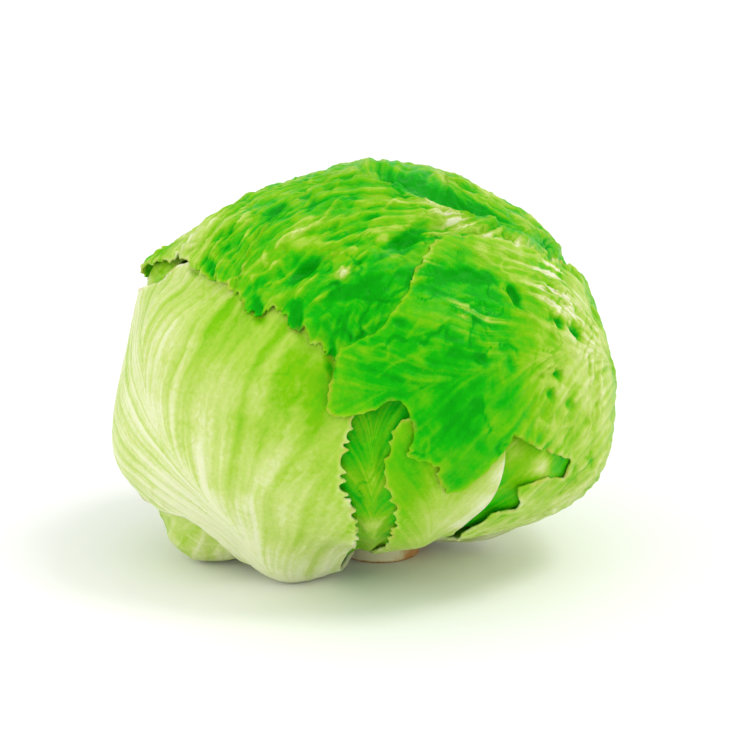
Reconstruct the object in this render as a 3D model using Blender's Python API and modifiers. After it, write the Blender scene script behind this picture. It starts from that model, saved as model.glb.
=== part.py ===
"""Crisphead lettuce, one head as cut: a stem, a dense heart and six wrapper leaves.

Metres, +Z up. The origin is the middle of the stem's cut face, which the head stands on.
The front is -Y and the right is +X. A direction from the head's centre is given as
(theta, phi) in degrees: theta from straight down, phi from the front towards the right.
"""
import math

import bmesh
import bpy
import numpy as np
from mathutils import Vector

# The head's outer form, seen from its centre
HEAD_CENTRE = (0.0, 0.0, 0.062)
REACH_LEFT = 0.081
REACH_RIGHT = 0.075
REACH_FRONT = 0.076
REACH_BACK = 0.074
REACH_UP = 0.066
REACH_DOWN = 0.057
SQUARENESS = 2.1
DEGREE = 0.00133  # length of one degree on the surface

# Broad bulges and hollows: theta, phi, height, spread in degrees
BULGES = [
    (38, -42, 0.0101, 16),  # knee of the left leaf's rib
    (66, -88, 0.0150, 22),  # low left flank
    (47, -78, 0.0070, 12),  # flared margin of the lower left leaf
    (45, -112, 0.0060, 15),  # lower left leaf
    (66, 80, 0.0080, 22),  # low right flank
    (114, -86, -0.0008, 14),  # left shoulder
    (122, 78, -0.0040, 24),  # right shoulder
    (32, 34, -0.0045, 17),  # hollow beside the stem
    (33, 170, 0.0082, 17),  # rear foot
    (33, 92, 0.0058, 13),  # right foot
    (142, 110, -0.0026, 12),  # flat behind the right shoulder
    (164, -161, -0.0020, 10),  # low middle of the crown
    (133, -104, -0.0022, 10),  # flat above the left shoulder
    (26, -28, 0.0013, 7),  # underside between the knee and the stem
    (61, -81, -0.0028, 8),  # waist over the lower left leaf
    (45, -80, 0.0050, 9),  # lower left leaf's lip
    (114, 97, 0.0018, 9),  # right shoulder's corner
    (75, 86, -0.0024, 10),  # right flank
    (33, 64, -0.0040, 11),  # under the right flank
]

# Ribs that stand out on the outermost leaf: height, half width in degrees, course
RIDGES = [
    (0.0020, 7, [(163, -150), (163, 19), (151, 33), (144, 50), (133, 68), (119, 80)]),
    (0.0016, 8, [(37, -39), (56, -41), (69, -45), (82, -49), (94, -57), (105, -67)]),
    (0.0014, 7, [(20, 165), (45, 150), (75, 138), (105, 125), (135, 110)]),
]
# Hollows pressed into every layer, given the same way
HOLLOWS = [
    (0.0040, 6, [(170, 25), (158, 42), (151, 60)]),
    (0.0038, 5, [(143, 72), (137, 82)]),
    (0.0026, 5, [(129, 88), (124, 95)]),
    (0.0024, 6, [(128, -31), (131, -20)]),
    (0.0022, 7, [(126, 22), (128, 34)]),
]

# Slow uneven swelling of the whole head
SWELL_HEIGHT = 0.0010
SWELL_WAVES = 16
SWELL_LOW = 6.0  # radians of wave for one head radius
SWELL_HIGH = 10.0
SWELL_SEED = 11

# Leaf blades
BLADE = 0.0009
BASE_EXTRA = 0.0011  # more thickness at the foot of the ribs
BASE_THETA = 14
BASE_SPREAD = 22
WAVE_EDGE = 8  # the margin's waves fade inwards with this power
LEAF_GAP = 0.0009
COVER_MARGIN = 0.0050
COVER_FADE = 0.0100
TOOTH_DEPTH = 0.0016

# Stem
STEM_RADIUS = 0.0130
STEM_ROUND = 0.0008
STEM_NECK_Z = 0.010
CORE_TOP_RADIUS = 0.0060
CORE_TIP_RADIUS = 0.0036
CORE_TOP_Z = 0.046
CORE_TIP_RISE = 0.003
CLEARANCE_END_Z = -0.010  # how far the stem's clearance runs on below the cut face
STEM_STEPS = 40
MERGE_LENGTH = 0.00005
FIT_GAP = 0.0003
HEART_GAP = 0.0013
HEART_LEVEL = 4

# Outlines run round each leaf as (theta, phi); the leaf's grid spreads from its centre.
# The order is from the inside out.
LEAVES = [
    dict(
        name="leaf_under", centre=(66, 14), cells=14, wave=0.0,
        colour=(0.16, 0.55, 0.03),
        outline=[
            (14, -20), (35, -28), (60, -26), (85, -24), (105, -20), (113, 0), (110, 25),
            (100, 45), (90, 60), (78, 66), (66, 60), (55, 50), (35, 50), (14, 45),
        ],
    ),
    dict(
        name="leaf_back_left", centre=(80, -122), cells=16, wave=0.0016,
        colour=(0.30, 0.62, 0.08),
        outline=[
            (14, -60), (28, -53), (40, -48), (50, -48), (58, -58), (75, -76), (100, -84),
            (120, -80), (130, -95), (132, -120), (122, -145), (104, -168), (80, 176),
            (50, 170), (30, 168), (14, 165),
        ],
    ),
    dict(
        name="leaf_front", centre=(58, 16), cells=14, wave=0.0006,
        colour=(0.60, 0.80, 0.25),
        outline=[
            (14, -14), (30, -6), (45, 1), (53, 2), (62, 3), (66, 4), (72, 2), (76, 1),
            (80, 0.5), (86, 1), (93, 4), (95, 12), (93, 22), (88, 28), (85, 30.5),
            (79, 31), (69, 30), (58, 26), (50, 27), (38, 33), (26, 38), (14, 40),
        ],
    ),
    dict(
        name="leaf_left", centre=(78, -50), cells=20, wave=0.0010,
        colour=(0.70, 0.85, 0.35),
        outline=[
            (14, -72), (28, -66), (40, -57), (50, -58), (59, -62), (62, -76), (68, -92),
            (80, -106), (95, -108), (105, -100), (112, -84), (122, -72), (128, -58),
            (128, -40), (122, -22), (114, -10), (106, -7), (97, -6), (89, -6), (84, -7),
            (76, -7), (68, -5.5), (60, -5.5), (54, -7), (45, -9), (30, -14), (14, -25),
        ],
    ),
    dict(
        name="leaf_crown", centre=(130, 140), cells=28, wave=0.0014,
        colour=(0.25, 0.62, 0.05),
        outline=[
            (14, 172), (30, 178), (50, -176), (70, -162), (85, -145), (98, -125),
            (108, -107), (115, -93), (119, -84), (122, -73), (121, -58), (120, -44),
            (115, -35), (117, -28), (114, -24), (109, -15), (106, -11), (106, -2),
            (112, 8), (122, 20), (128, 34), (125, 52), (118, 70), (105, 90), (85, 105),
            (60, 110), (35, 105), (14, 100),
        ],
    ),
    dict(
        name="leaf_right", centre=(112, 60), cells=28, wave=0.0012,
        colour=(0.12, 0.58, 0.03),
        outline=[
            (14, 22), (30, 35), (45, 31), (54, 27), (64, 21), (74, 16), (79, 13),
            (83, 12.5), (84.5, 6), (89, 7), (94, 6.5), (98, 4.5), (96, -1), (94, -7),
            (95, -12), (102, -12), (109, -10.5), (114, -1), (121, 5), (131, 13),
            (138, 20), (140, 34), (136, 50), (128, 66), (120, 84), (112, 104),
            (98, 124), (80, 138), (60, 146), (40, 148), (22, 140), (14, 122),
        ],
    ),
]

# The torn notch low in the right leaf
TEAR = [
    (46, 15), (74, 13), (75.5, 19), (80, 25), (85, 30), (88, 32), (84, 38), (80, 46),
    (77, 53), (72, 53), (74, 44), (73, 36), (65, 40), (65.5, 31), (54, 27.5),
]
TEAR_INNER = 0.030
TEAR_OUTER = 0.110

HEART_COLOUR = (0.80, 0.88, 0.50)
STEM_COLOUR = (0.86, 0.76, 0.58)
HEART_ROUGHNESS = 0.5
LEAF_ROUGHNESS = 0.45
STEM_ROUGHNESS = 0.7
OUTLINE_STEPS = 12


def clear_scene():
    for item in list(bpy.data.objects):
        bpy.data.objects.remove(item, do_unlink=True)


def new_collection(name):
    group = bpy.data.collections.new(name)
    bpy.context.scene.collection.children.link(group)
    return group


def material(name, colour, roughness):
    mat = bpy.data.materials.new(name)
    mat.use_nodes = True
    shader = mat.node_tree.nodes["Principled BSDF"]
    shader.inputs["Base Color"].default_value = (*colour, 1.0)
    shader.inputs["Roughness"].default_value = roughness
    shader.inputs["Metallic"].default_value = 0.0
    return mat


def direction(theta, phi):
    t, p = np.radians(theta), np.radians(phi)
    return np.stack([np.sin(t) * np.sin(p), -np.sin(t) * np.cos(p), -np.cos(t)], -1)


def head_radius(d):
    x = d[..., 0] / np.where(d[..., 0] < 0, REACH_LEFT, REACH_RIGHT)
    y = d[..., 1] / np.where(d[..., 1] < 0, REACH_FRONT, REACH_BACK)
    z = d[..., 2] / np.where(d[..., 2] > 0, REACH_UP, REACH_DOWN)
    power = SQUARENESS
    radius = (abs(x) ** power + abs(y) ** power + abs(z) ** power) ** (-1 / power)
    for theta, phi, height, spread in BULGES:
        angle = np.degrees(np.arccos(np.clip(d @ direction(theta, phi), -1, 1)))
        radius = radius + height * np.exp(-((angle / spread) ** 2))
    return radius + swelling(d) - courses(d, HOLLOWS)


def swelling(d):
    """A sum of slow waves in random directions."""
    draw = np.random.RandomState(SWELL_SEED)
    total = np.zeros(d.shape[:-1])
    for _ in range(SWELL_WAVES):
        heading = draw.normal(size=3)
        heading *= draw.uniform(SWELL_LOW, SWELL_HIGH) / np.linalg.norm(heading)
        total += np.cos(d @ heading + draw.uniform(0, 2 * math.pi))
    return total * SWELL_HEIGHT / math.sqrt(SWELL_WAVES)


def courses(d, bands):
    """Height of the rounded bands along their courses at each direction."""
    total = np.zeros(d.shape[:-1])
    for height, half_width, course in bands:
        points = direction(*np.array(course, float).T)
        nearest = np.full(d.shape[:-1], np.inf)
        for a, b in zip(points[:-1], points[1:]):
            along = np.clip((d - a) @ (b - a) / ((b - a) @ (b - a)), 0, 1)
            foot = a + along[..., None] * (b - a)
            foot = foot / np.linalg.norm(foot, axis=-1, keepdims=True)
            nearest = np.minimum(nearest, np.degrees(np.linalg.norm(d - foot, axis=-1)))
        total = total + height * np.exp(-((nearest / half_width) ** 2))
    return total


def blade_thickness(d):
    theta = np.degrees(np.arccos(np.clip(-d[..., 2], -1, 1)))
    return BLADE + BASE_EXTRA * np.exp(-(((theta - BASE_THETA) / BASE_SPREAD) ** 2))


def chart_axes(centre):
    """The leaf's middle direction, with the two directions across and down from it."""
    theta, phi = np.radians(centre)
    middle = direction(*centre)
    across = np.array([math.cos(phi), math.sin(phi), 0.0])
    down = np.cross(across, middle)
    return middle, across, down


def to_chart(centre, d):
    """Flatten directions about the leaf's middle, in degrees from it."""
    middle, across, down = chart_axes(centre)
    angle = np.arccos(np.clip(d @ middle, -1, 1))
    u, v = d @ across, d @ down
    length = np.maximum(np.hypot(u, v), 1e-9)
    return np.degrees(np.stack([u, v], -1) * (angle / length)[..., None])


def from_chart(centre, flat):
    middle, across, down = chart_axes(centre)
    angle = np.radians(np.hypot(flat[..., 0], flat[..., 1]))[..., None]
    length = np.maximum(np.hypot(flat[..., 0], flat[..., 1]), 1e-9)[..., None]
    side = (flat[..., :1] * across + flat[..., 1:] * down) / length
    return np.cos(angle) * middle + np.sin(angle) * side


def smooth_loop(points, steps):
    """A closed Catmull-Rom curve through the points."""
    p0 = np.roll(points, 1, axis=0)[:, None]
    p1 = points[:, None]
    p2 = np.roll(points, -1, axis=0)[:, None]
    p3 = np.roll(points, -2, axis=0)[:, None]
    t = (np.arange(steps) / steps)[None, :, None]
    curve = 0.5 * (
        2 * p1 + (p2 - p0) * t + (2 * p0 - 5 * p1 + 4 * p2 - p3) * t**2
        + (3 * p1 - p0 - 3 * p2 + p3) * t**3
    )
    return curve.reshape(-1, 2)


def leaf_loop(leaf):
    corners = to_chart(leaf["centre"], direction(*np.array(leaf["outline"], float).T))
    return smooth_loop(corners, OUTLINE_STEPS)


def margin_distance(loop, flat):
    """Signed distance in degrees from the leaf's margin, negative inside it."""
    nearest = np.full(flat.shape[:-1], np.inf)
    inside = np.zeros(flat.shape[:-1], bool)
    for a, b in zip(loop, np.roll(loop, -1, axis=0)):
        edge = b - a
        along = np.clip((flat - a) @ edge / max(edge @ edge, 1e-12), 0, 1)
        gap = flat - a - along[..., None] * edge
        nearest = np.minimum(nearest, np.hypot(gap[..., 0], gap[..., 1]))
        crosses = (a[1] > flat[..., 1]) != (b[1] > flat[..., 1])
        slope = edge[0] / edge[1] if edge[1] else 0.0
        inside ^= crosses & (flat[..., 0] < a[0] + (flat[..., 1] - a[1]) * slope)
    return np.where(inside, -nearest, nearest)


def cover(leaf, d):
    """1 where the leaf lies, falling to 0 a little way outside its margin."""
    outside = margin_distance(leaf["loop"], to_chart(leaf["centre"], d)) * DEGREE
    fall = np.clip((outside - COVER_MARGIN) / COVER_FADE, 0, 1)
    return 1 - fall * fall * (3 - 2 * fall)


def layer_radius(order, d):
    """Outer surface of the leaf at this place in the order, under the leaves over it."""
    radius = head_radius(d)
    bare = np.ones(d.shape[:-1])
    for leaf in LEAVES[order + 1:]:
        covered = cover(leaf, d)
        radius = radius - covered * (blade_thickness(d) + LEAF_GAP)
        bare = bare * (1 - covered)
    return radius, bare


def disc_from_square(x, y):
    """Concentric map of the unit square to the unit disc, as radius and angle."""
    wide = np.abs(x) >= np.abs(y)
    radius = np.where(wide, x, y)
    safe = np.where(radius == 0, 1, radius)
    angle = np.where(wide, math.pi / 4 * y / safe, math.pi / 2 - math.pi / 4 * x / safe)
    return np.abs(radius), np.where(radius < 0, angle + math.pi, angle) % (2 * math.pi)


def even_loop(loop, count):
    """Points evenly spaced by length round the loop."""
    closed = np.vstack([loop, loop[:1]])
    length = np.concatenate([[0], np.cumsum(np.linalg.norm(np.diff(closed, axis=0), axis=1))])
    at = np.arange(count) / count * length[-1]
    return np.stack([np.interp(at, length, closed[:, k]) for k in range(2)], -1)


def place(points_dir, radius):
    return np.array(HEAD_CENTRE) + points_dir * radius[..., None]


def build_leaf(order, group, cutters):
    leaf = LEAVES[order]
    cells = leaf["cells"]
    grid = bmesh.new()
    bmesh.ops.create_grid(grid, x_segments=cells, y_segments=cells, size=1.0)
    corner = np.array([v.co[:2] for v in grid.verts])
    ring, angle = disc_from_square(corner[:, 0], corner[:, 1])

    rim_count = 4 * cells
    rim = even_loop(leaf["loop"], rim_count)
    inward = -rim / np.linalg.norm(rim, axis=1, keepdims=True)
    rim[::2] += inward[::2] * TOOTH_DEPTH / DEGREE
    slot = angle / (2 * math.pi) * rim_count
    low = np.floor(slot).astype(int)
    part = (slot - low)[:, None]
    edge = rim[low % rim_count] * (1 - part) + rim[(low + 1) % rim_count] * part
    d = from_chart(leaf["centre"], edge * ring[:, None])

    radius, bare = layer_radius(order, d)
    waves = leaf["wave"] * (1 + np.cos(math.pi * slot / 2)) * ring**WAVE_EDGE
    radius = radius + bare * (courses(d, RIDGES) + waves)
    for vert, spot in zip(grid.verts, place(d, radius)):
        vert.co = Vector(spot)
    bmesh.ops.triangulate(grid, faces=grid.faces[:])
    bmesh.ops.recalc_face_normals(grid, faces=grid.faces[:])
    middle = place(direction(*leaf["centre"]), np.array(0.0))
    face = grid.faces[0]
    if face.normal.dot(face.calc_center_median() - Vector(middle)) < 0:
        bmesh.ops.reverse_faces(grid, faces=grid.faces[:])
    mesh = bpy.data.meshes.new(leaf["name"])
    grid.to_mesh(mesh)
    grid.free()

    blade = bpy.data.objects.new(leaf["name"], mesh)
    group.objects.link(blade)
    mesh.materials.append(material(leaf["name"], leaf["colour"], LEAF_ROUGHNESS))
    mesh.shade_smooth()
    weights = blade.vertex_groups.new(name="thickness")
    thickest = BLADE + BASE_EXTRA
    for index, amount in enumerate(blade_thickness(d) / thickest):
        weights.add([index], float(amount), "REPLACE")
    solid = blade.modifiers.new("blade", "SOLIDIFY")
    solid.thickness = thickest
    solid.offset = -1
    solid.vertex_group = "thickness"
    cut(blade, cutters["stem"])
    if leaf["name"] == "leaf_right":
        cut(blade, cutters["tear"])
    return blade


def cut(piece, cutter):
    knife = piece.modifiers.new(cutter.name, "BOOLEAN")
    knife.operation = "DIFFERENCE"
    knife.solver = "EXACT"
    knife.object = cutter


def turned(name, profile, group):
    """A profile of (radius, height) points turned about Z, listed from the top down."""
    mesh = bpy.data.meshes.new(name)
    verts = [(radius, 0.0, height) for radius, height in profile]
    mesh.from_pydata(verts, [(k, k + 1) for k in range(len(verts) - 1)], [])
    piece = bpy.data.objects.new(name, mesh)
    group.objects.link(piece)
    screw = piece.modifiers.new("turn", "SCREW")
    screw.steps = STEM_STEPS
    screw.render_steps = STEM_STEPS
    screw.use_merge_vertices = True
    screw.merge_threshold = MERGE_LENGTH
    screw.use_normal_calculate = False
    return piece


def stem_profile(grow):
    """The stem from the tip of its core down to the cut face, grown by a clearance."""
    corner = [
        (STEM_RADIUS - STEM_ROUND * (1 - math.cos(a)), STEM_ROUND * (1 - math.sin(a)))
        for a in (0.0, math.pi / 4, math.pi / 2)
    ]
    core = [
        (CORE_TIP_RADIUS, CORE_TOP_Z),
        (CORE_TOP_RADIUS, CORE_TOP_Z - CORE_TIP_RISE),
        ((CORE_TOP_RADIUS + STEM_RADIUS) / 2, (CORE_TOP_Z + STEM_NECK_Z) / 2),
    ]
    if grow:
        core = [(r + grow, z + grow) for r, z in core]
        wall = STEM_RADIUS + grow
        lower = [(wall, STEM_NECK_Z), (wall, CLEARANCE_END_Z), (0.0, CLEARANCE_END_Z)]
    else:
        lower = [(STEM_RADIUS, STEM_NECK_Z)] + corner + [(0.0, 0.0)]
    return [(0.0, CORE_TOP_Z + grow)] + core + lower


def build_stem(group):
    stem = turned("stem", stem_profile(0.0), group)
    stem.data.materials.append(material("stem", STEM_COLOUR, STEM_ROUGHNESS))
    return stem


def build_heart(group, cutters):
    """The dense inner head, as one solid a little smaller than the wrapper leaves."""
    ball = bmesh.new()
    bmesh.ops.create_icosphere(ball, subdivisions=HEART_LEVEL, radius=1.0)
    d = np.array([v.co[:] for v in ball.verts])
    d = d / np.linalg.norm(d, axis=1, keepdims=True)
    radius, _ = layer_radius(-1, d)
    for vert, spot in zip(ball.verts, place(d, radius - HEART_GAP)):
        vert.co = Vector(spot)
    mesh = bpy.data.meshes.new("heart")
    ball.to_mesh(mesh)
    ball.free()
    heart = bpy.data.objects.new("heart", mesh)
    group.objects.link(heart)
    mesh.materials.append(material("heart", HEART_COLOUR, HEART_ROUGHNESS))
    mesh.shade_smooth()
    cut(heart, cutters["stem"])
    return heart


def tear_cutter(group):
    """A closed prism along the lines from the head's centre through the tear's outline."""
    loop = direction(*np.array(TEAR, float).T)
    shape = bmesh.new()
    inner = [shape.verts.new(place(d, np.array(TEAR_INNER))) for d in loop]
    flat = shape.faces.new(inner)
    grown = bmesh.ops.extrude_face_region(shape, geom=[flat])
    outer = [item for item in grown["geom"] if isinstance(item, bmesh.types.BMVert)]
    centre = Vector(HEAD_CENTRE)
    for vert in outer:
        vert.co = centre + (vert.co - centre) * (TEAR_OUTER / TEAR_INNER)
    bmesh.ops.triangulate(shape, faces=[f for f in shape.faces if len(f.verts) > 4])
    bmesh.ops.recalc_face_normals(shape, faces=shape.faces[:])
    mesh = bpy.data.meshes.new("tear")
    shape.to_mesh(mesh)
    shape.free()
    tear = bpy.data.objects.new("tear", mesh)
    group.objects.link(tear)
    return tear


def main():
    clear_scene()
    group = new_collection("lettuce")
    tools = new_collection("cutters")
    cutters = {
        "stem": turned("stem_clearance", stem_profile(FIT_GAP), tools),
        "tear": tear_cutter(tools),
    }
    for cutter in cutters.values():
        cutter.hide_render = True
        cutter.display_type = "WIRE"
    for leaf in LEAVES:
        leaf["loop"] = leaf_loop(leaf)
    build_stem(group)
    build_heart(group, cutters)
    for order in range(len(LEAVES)):
        build_leaf(order, group, cutters)


main()
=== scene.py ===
"""Crisphead lettuce: the finished leaves, heart and stem, with floor, light and camera.

Metres, +Z up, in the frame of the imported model. A direction from the head's centre is given
as (theta, phi) in degrees: theta from straight down, phi from the front towards the right.
Each leaf has a flat chart about its own centre, where its outline, ribs and veins are drawn.
"""
import itertools
import math

import bmesh
import bpy
import numpy as np
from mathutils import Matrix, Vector


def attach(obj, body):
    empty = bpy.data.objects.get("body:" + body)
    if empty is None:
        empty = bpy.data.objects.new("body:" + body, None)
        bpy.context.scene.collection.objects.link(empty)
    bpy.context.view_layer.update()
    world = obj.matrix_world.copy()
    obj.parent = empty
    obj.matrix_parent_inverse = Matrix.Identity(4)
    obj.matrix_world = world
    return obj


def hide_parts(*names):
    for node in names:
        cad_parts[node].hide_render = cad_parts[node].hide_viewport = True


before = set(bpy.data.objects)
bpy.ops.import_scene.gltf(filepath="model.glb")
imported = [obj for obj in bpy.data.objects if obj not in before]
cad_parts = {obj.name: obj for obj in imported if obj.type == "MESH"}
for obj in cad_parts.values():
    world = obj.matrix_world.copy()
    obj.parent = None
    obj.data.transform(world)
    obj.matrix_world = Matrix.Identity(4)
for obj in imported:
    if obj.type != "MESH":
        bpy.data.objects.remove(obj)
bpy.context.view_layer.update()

MM = 0.001

# The head's outer form, as in the part's source
HEAD_CENTRE = (0.0, 0.0, 0.062)
REACH_LEFT = 0.081
REACH_RIGHT = 0.075
REACH_FRONT = 0.076
REACH_BACK = 0.074
REACH_UP = 0.066
REACH_DOWN = 0.057
SQUARENESS = 2.1
DEGREE = 0.00133  # length of one degree on the surface

BULGES = [
    (38, -42, 0.0101, 16),  # knee of the left leaf's rib
    (66, -88, 0.0150, 22),  # low left flank
    (47, -78, 0.0070, 12),  # flared margin of the lower left leaf
    (45, -112, 0.0060, 15),  # lower left leaf
    (66, 80, 0.0080, 22),  # low right flank
    (114, -86, -0.0008, 14),  # left shoulder
    (122, 78, -0.0040, 24),  # right shoulder
    (32, 34, -0.0045, 17),  # hollow beside the stem
    (33, 170, 0.0082, 17),  # rear foot
    (33, 92, 0.0058, 13),  # right foot
    (142, 110, -0.0026, 12),  # flat behind the right shoulder
    (164, -161, -0.0020, 10),  # low middle of the crown
    (133, -104, -0.0022, 10),  # flat above the left shoulder
    (26, -28, 0.0013, 7),  # underside between the knee and the stem
    (61, -81, -0.0028, 8),  # waist over the lower left leaf
    (45, -80, 0.0050, 9),  # lower left leaf's lip
    (114, 97, 0.0018, 9),  # right shoulder's corner
    (75, 86, -0.0024, 10),  # right flank
    (33, 64, -0.0040, 11),  # under the right flank
    (115, -92, 0.0044, 7),  # lift of the margin on the left shoulder
    (42, -18, -0.0040, 10),  # right of the knee
    (110, -88, 0.0020, 8),  # top of the left flank
]
RIDGES = [
    (0.0020, 7, [(163, -150), (163, 19), (151, 33), (144, 50), (133, 68), (119, 80)]),
    (0.0016, 8, [(37, -39), (56, -41), (69, -45), (82, -49), (94, -57), (105, -67)]),
    (0.0014, 7, [(20, 165), (45, 150), (75, 138), (105, 125), (135, 110)]),
]
HOLLOWS = [
    (0.0040, 6, [(170, 25), (158, 42), (151, 60)]),
    (0.0038, 5, [(143, 72), (137, 82)]),
    (0.0026, 5, [(129, 88), (124, 95)]),
    (0.0024, 6, [(128, -31), (131, -20)]),
    (0.0022, 7, [(126, 22), (128, 34)]),
]
SWELL_HEIGHT = 0.0010
SWELL_WAVES = 16
SWELL_LOW = 6.0
SWELL_HIGH = 10.0
SWELL_SEED = 11

# Dents pressed into every layer: theta, phi, half length and half width in degrees,
# turn of the length from level in the chart, depth in mm
DENTS = [
    (146, -55, 3.9, 1.2, -114, 1.2), (131, -64, 2.3, 1.1, -90, 1.2),
    (133, -61, 2.4, 1.1, -106, 1.2), (124, -57, 4.9, 1.5, 25, 1.3),
    (117, -34, 3.7, 1.6, 53, 1.3), (129, -25, 5.0, 1.5, -69, 1.6),
    (140, -17, 3.0, 1.3, -30, 1.2), (138, -10, 2.7, 1.2, -17, 0.9),
    (124, -7, 4.6, 1.6, -19, 1.0), (116, -22, 4.2, 1.5, 71, 1.4),
    (107, -12, 5.4, 1.6, 82, 1.3), (140, 10, 8.1, 2.3, -39, 2.0),
    (127, 28, 8.2, 2.4, 10, 1.2), (120, 40, 3.2, 1.5, 94, 2.0),
    (111, 52, 2.2, 1.5, 40, 1.5), (107, 59, 3.2, 1.9, 66, 1.7),
    (99, 48, 2.0, 1.4, 68, 1.4), (95, 45, 2.2, 1.4, 39, 1.3),
    (91, 51, 2.1, 1.3, 39, 1.0), (106, 25, 1.8, 1.3, 27, 1.0),
    (104, 33, 2.0, 1.3, 19, 0.9), (116, 5, 1.8, 1.2, 13, 0.8),
    (168, -45, 2.2, 1.1, -75, 0.8), (139, -71, 2.2, 1.0, -90, 1.0),
    (141, -51, 2.7, 1.0, -94, 0.8), (148, -5, 3.5, 1.2, -24, 1.0),
    (148, -38, 3.2, 1.1, -83, 0.7), (122, -64, 3.5, 1.2, 4, 1.0),
    (132, -8, 2.8, 1.2, -47, 0.7),
]
LOOSE_DENTS = 150  # smaller ones over the back, sides and crown
LOOSE_DENT_SEED = 5
LOOSE_DENT_LENGTHS = (1.6, 4.5)  # degrees, half lengths
LOOSE_DENT_SHAPES = (0.4, 0.8)  # width for length
LOOSE_DENT_DEPTHS = (0.3, 1.3)
SMOOTH_PHIS = (-100, 62)  # the front, smooth up to a higher theta than the rest
SMOOTH_FRONT_THETA = 128
SMOOTH_FOOT_THETA = 78
DENT_RADIUS = 0.075
DENT_BEND = 0.6  # degrees by which a dent's outline strays
DENT_BEND_NOISES = [(6, 81, 2), (6, 82, 2)]
DENT_REACH = 3.2  # half lengths, where a dent has faded out
DENT_STEEPNESS = 1.5
DENT_RIM = 0.22

# Sharp creases in the two outer leaves, as courses of (theta, phi)
CREASES = {
    "leaf_crown": [
        [(150, -61), (142, -56), (134, -51), (126, -48)],
        [(157, -46), (149, -43), (141, -40), (133, -40), (127, -37)],
        [(162, -26), (153, -28), (146, -27), (141, -30), (137, -36), (131, -37)],
        [(157, -5), (152, -16), (146, -21), (143, -23)],
        [(148, 8), (145, -3), (144, -13), (141, -20)],
        [(143, 12), (143, 0), (136, -10), (134, -15)],
        [(175, -21), (164, 20), (152, 35), (142, 46), (134, 60), (125, 71), (114, 75)],
        [(163, 11), (154, 24), (146, 33), (141, 44)],
        [(139, 0), (135, 1), (135, 5), (133, 11)],
        [(139, 12), (136, 7)],
        [(128, -16), (128, -12), (127, -8)],
        [(131, -12), (125, -11)],
        [(126, -14), (129, -9)],
        [(127, -69), (133, -65), (138, -65)],
        [(118, -93), (126, -74), (130, -65)],
        [(125, -49), (131, -51), (137, -53)],
        [(148, 77), (144, 62), (139, 59), (133, 68)],
        [(120, -19), (124, -14), (131, -9), (136, -3)],
        [(120, -24), (123, -23), (130, -19)],
        [(150, -1), (155, 11), (153, 21)],
    ],
    "leaf_right": [
        [(133, 14), (131, 16), (128, 17)],
        [(134, 18), (131, 18)],
        [(131, 12), (130, 15)],
        [(137, 34), (133, 44), (127, 53), (120, 58), (112, 60)],
        [(120, 37), (117, 39), (112, 45)],
        [(124, 47), (124, 58), (121, 68), (116, 73)],
        [(119, 45), (117, 54), (113, 64)],
        [(121, 46), (120, 56), (117, 65)],
        [(113, 50), (114, 55), (111, 67)],
        [(101, 36), (101, 42), (101, 46), (99, 53)],
        [(101, 43), (98, 42), (94, 39)],
        [(121, 18), (119, 20), (117, 22)],
        [(117, 21), (116, 26), (111, 29)],
        [(120, 30), (119, 24), (117, 20), (114, 13), (112, 7)],
        [(116, 54), (112, 51), (108, 50), (100, 58)],
        [(136, 26), (134, 33), (130, 41)],
        [(105, 73), (94, 66), (83, 63)],
        [(109, 67), (95, 61), (81, 59)],
        [(126, 7), (127, 12), (127, 17)],
    ],
}
CREASE_WIDTH = 0.75
CREASE_SHARPNESS = 1.4
CREASE_RISES = (0.9, 1.5)
CREASE_TROUGH = 0.4
CREASE_TROUGH_WIDTH = 2.4
CREASE_ENDS = 3.5  # how fast a crease rises from its ends
CREASE_WANDER = 1.3
CREASE_WANDER_NOISE = (7, 77)
CREASE_STEPS = 5
CREASE_SEED = 9
CREASE_NEAR = 0.7  # cosine of the angle within which a crease is felt

BLADE = 0.0009
BASE_EXTRA = 0.0011  # more thickness at the foot of the ribs
BASE_THETA = 14
BASE_SPREAD = 22
LEAF_GAP = 0.0009
COVER_MARGIN = 0.0050
COVER_FADE = 0.0100
HIDDEN_FADE = (-0.006, 0.0)
OPEN_FADE = (-0.001, 0.002)
UNDER_DROP = 0.0006  # more room under a leaf, inside its margin
FLOOR_GAP = 0.0002
SHOWN_LESS = 0.0001  # the shown blade is this much thinner than the part's
TINY = 1e-9
NOISE_GAIN = 1.7
OUTLINE_STEPS = 6

STEM_RADIUS = 0.0130
STEM_ROUND = 0.0008
FIT_GAP = 0.0003
CORE_TOP_RADIUS = 0.0060
CORE_TIP_RADIUS = 0.0036
CORE_TOP_Z = 0.046
CORE_LOW_Z = 0.043
STEM_WALL_TOP = 0.018
STEM_WALL_STEP = 0.0008
STEM_FACE_MM = (11.6, 0.2, -0.6)  # rings of the cut face: from, to and step
STEM_CORNER_POINTS = 5
STEM_TURNS = 72
STEM_UNEVEN = 0.03
STEM_WALL_NOISE = (5, 91, 2)
STEM_WALL_STRETCH = (1, 1, 0.3)
STEM_FACE_DENT = 0.00025
STEM_FACE_NOISE = (6, 92, 2)
STEM_FIBRE_SCALES = (900.0, 900.0, 90.0)
STEM_BLOTCH_SCALE = 260.0
STEM_BROWN = 0.9
STEM_BROWN_HEIGHT = 0.001
STEM_STAIN_SLOPE = 110.0
STEM_STAIN_START = 0.45
STEM_STAIN_BLOTCH = 1.6
STEM_STAIN_MOST = 0.72
STEM_RING_TURNS = 4200.0  # radians a metre
STEM_BUMP = 0.0006
STEM_TONES = [
    (0.00, (0.80, 0.76, 0.50)),
    (0.35, (0.70, 0.55, 0.28)),
    (0.75, (0.55, 0.22, 0.05)),
    (1.00, (0.20, 0.07, 0.02)),
]
HEART_GAP = 0.0013
HEART_SUBDIVISIONS = 6
HEART_TONE = 0.45
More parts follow.
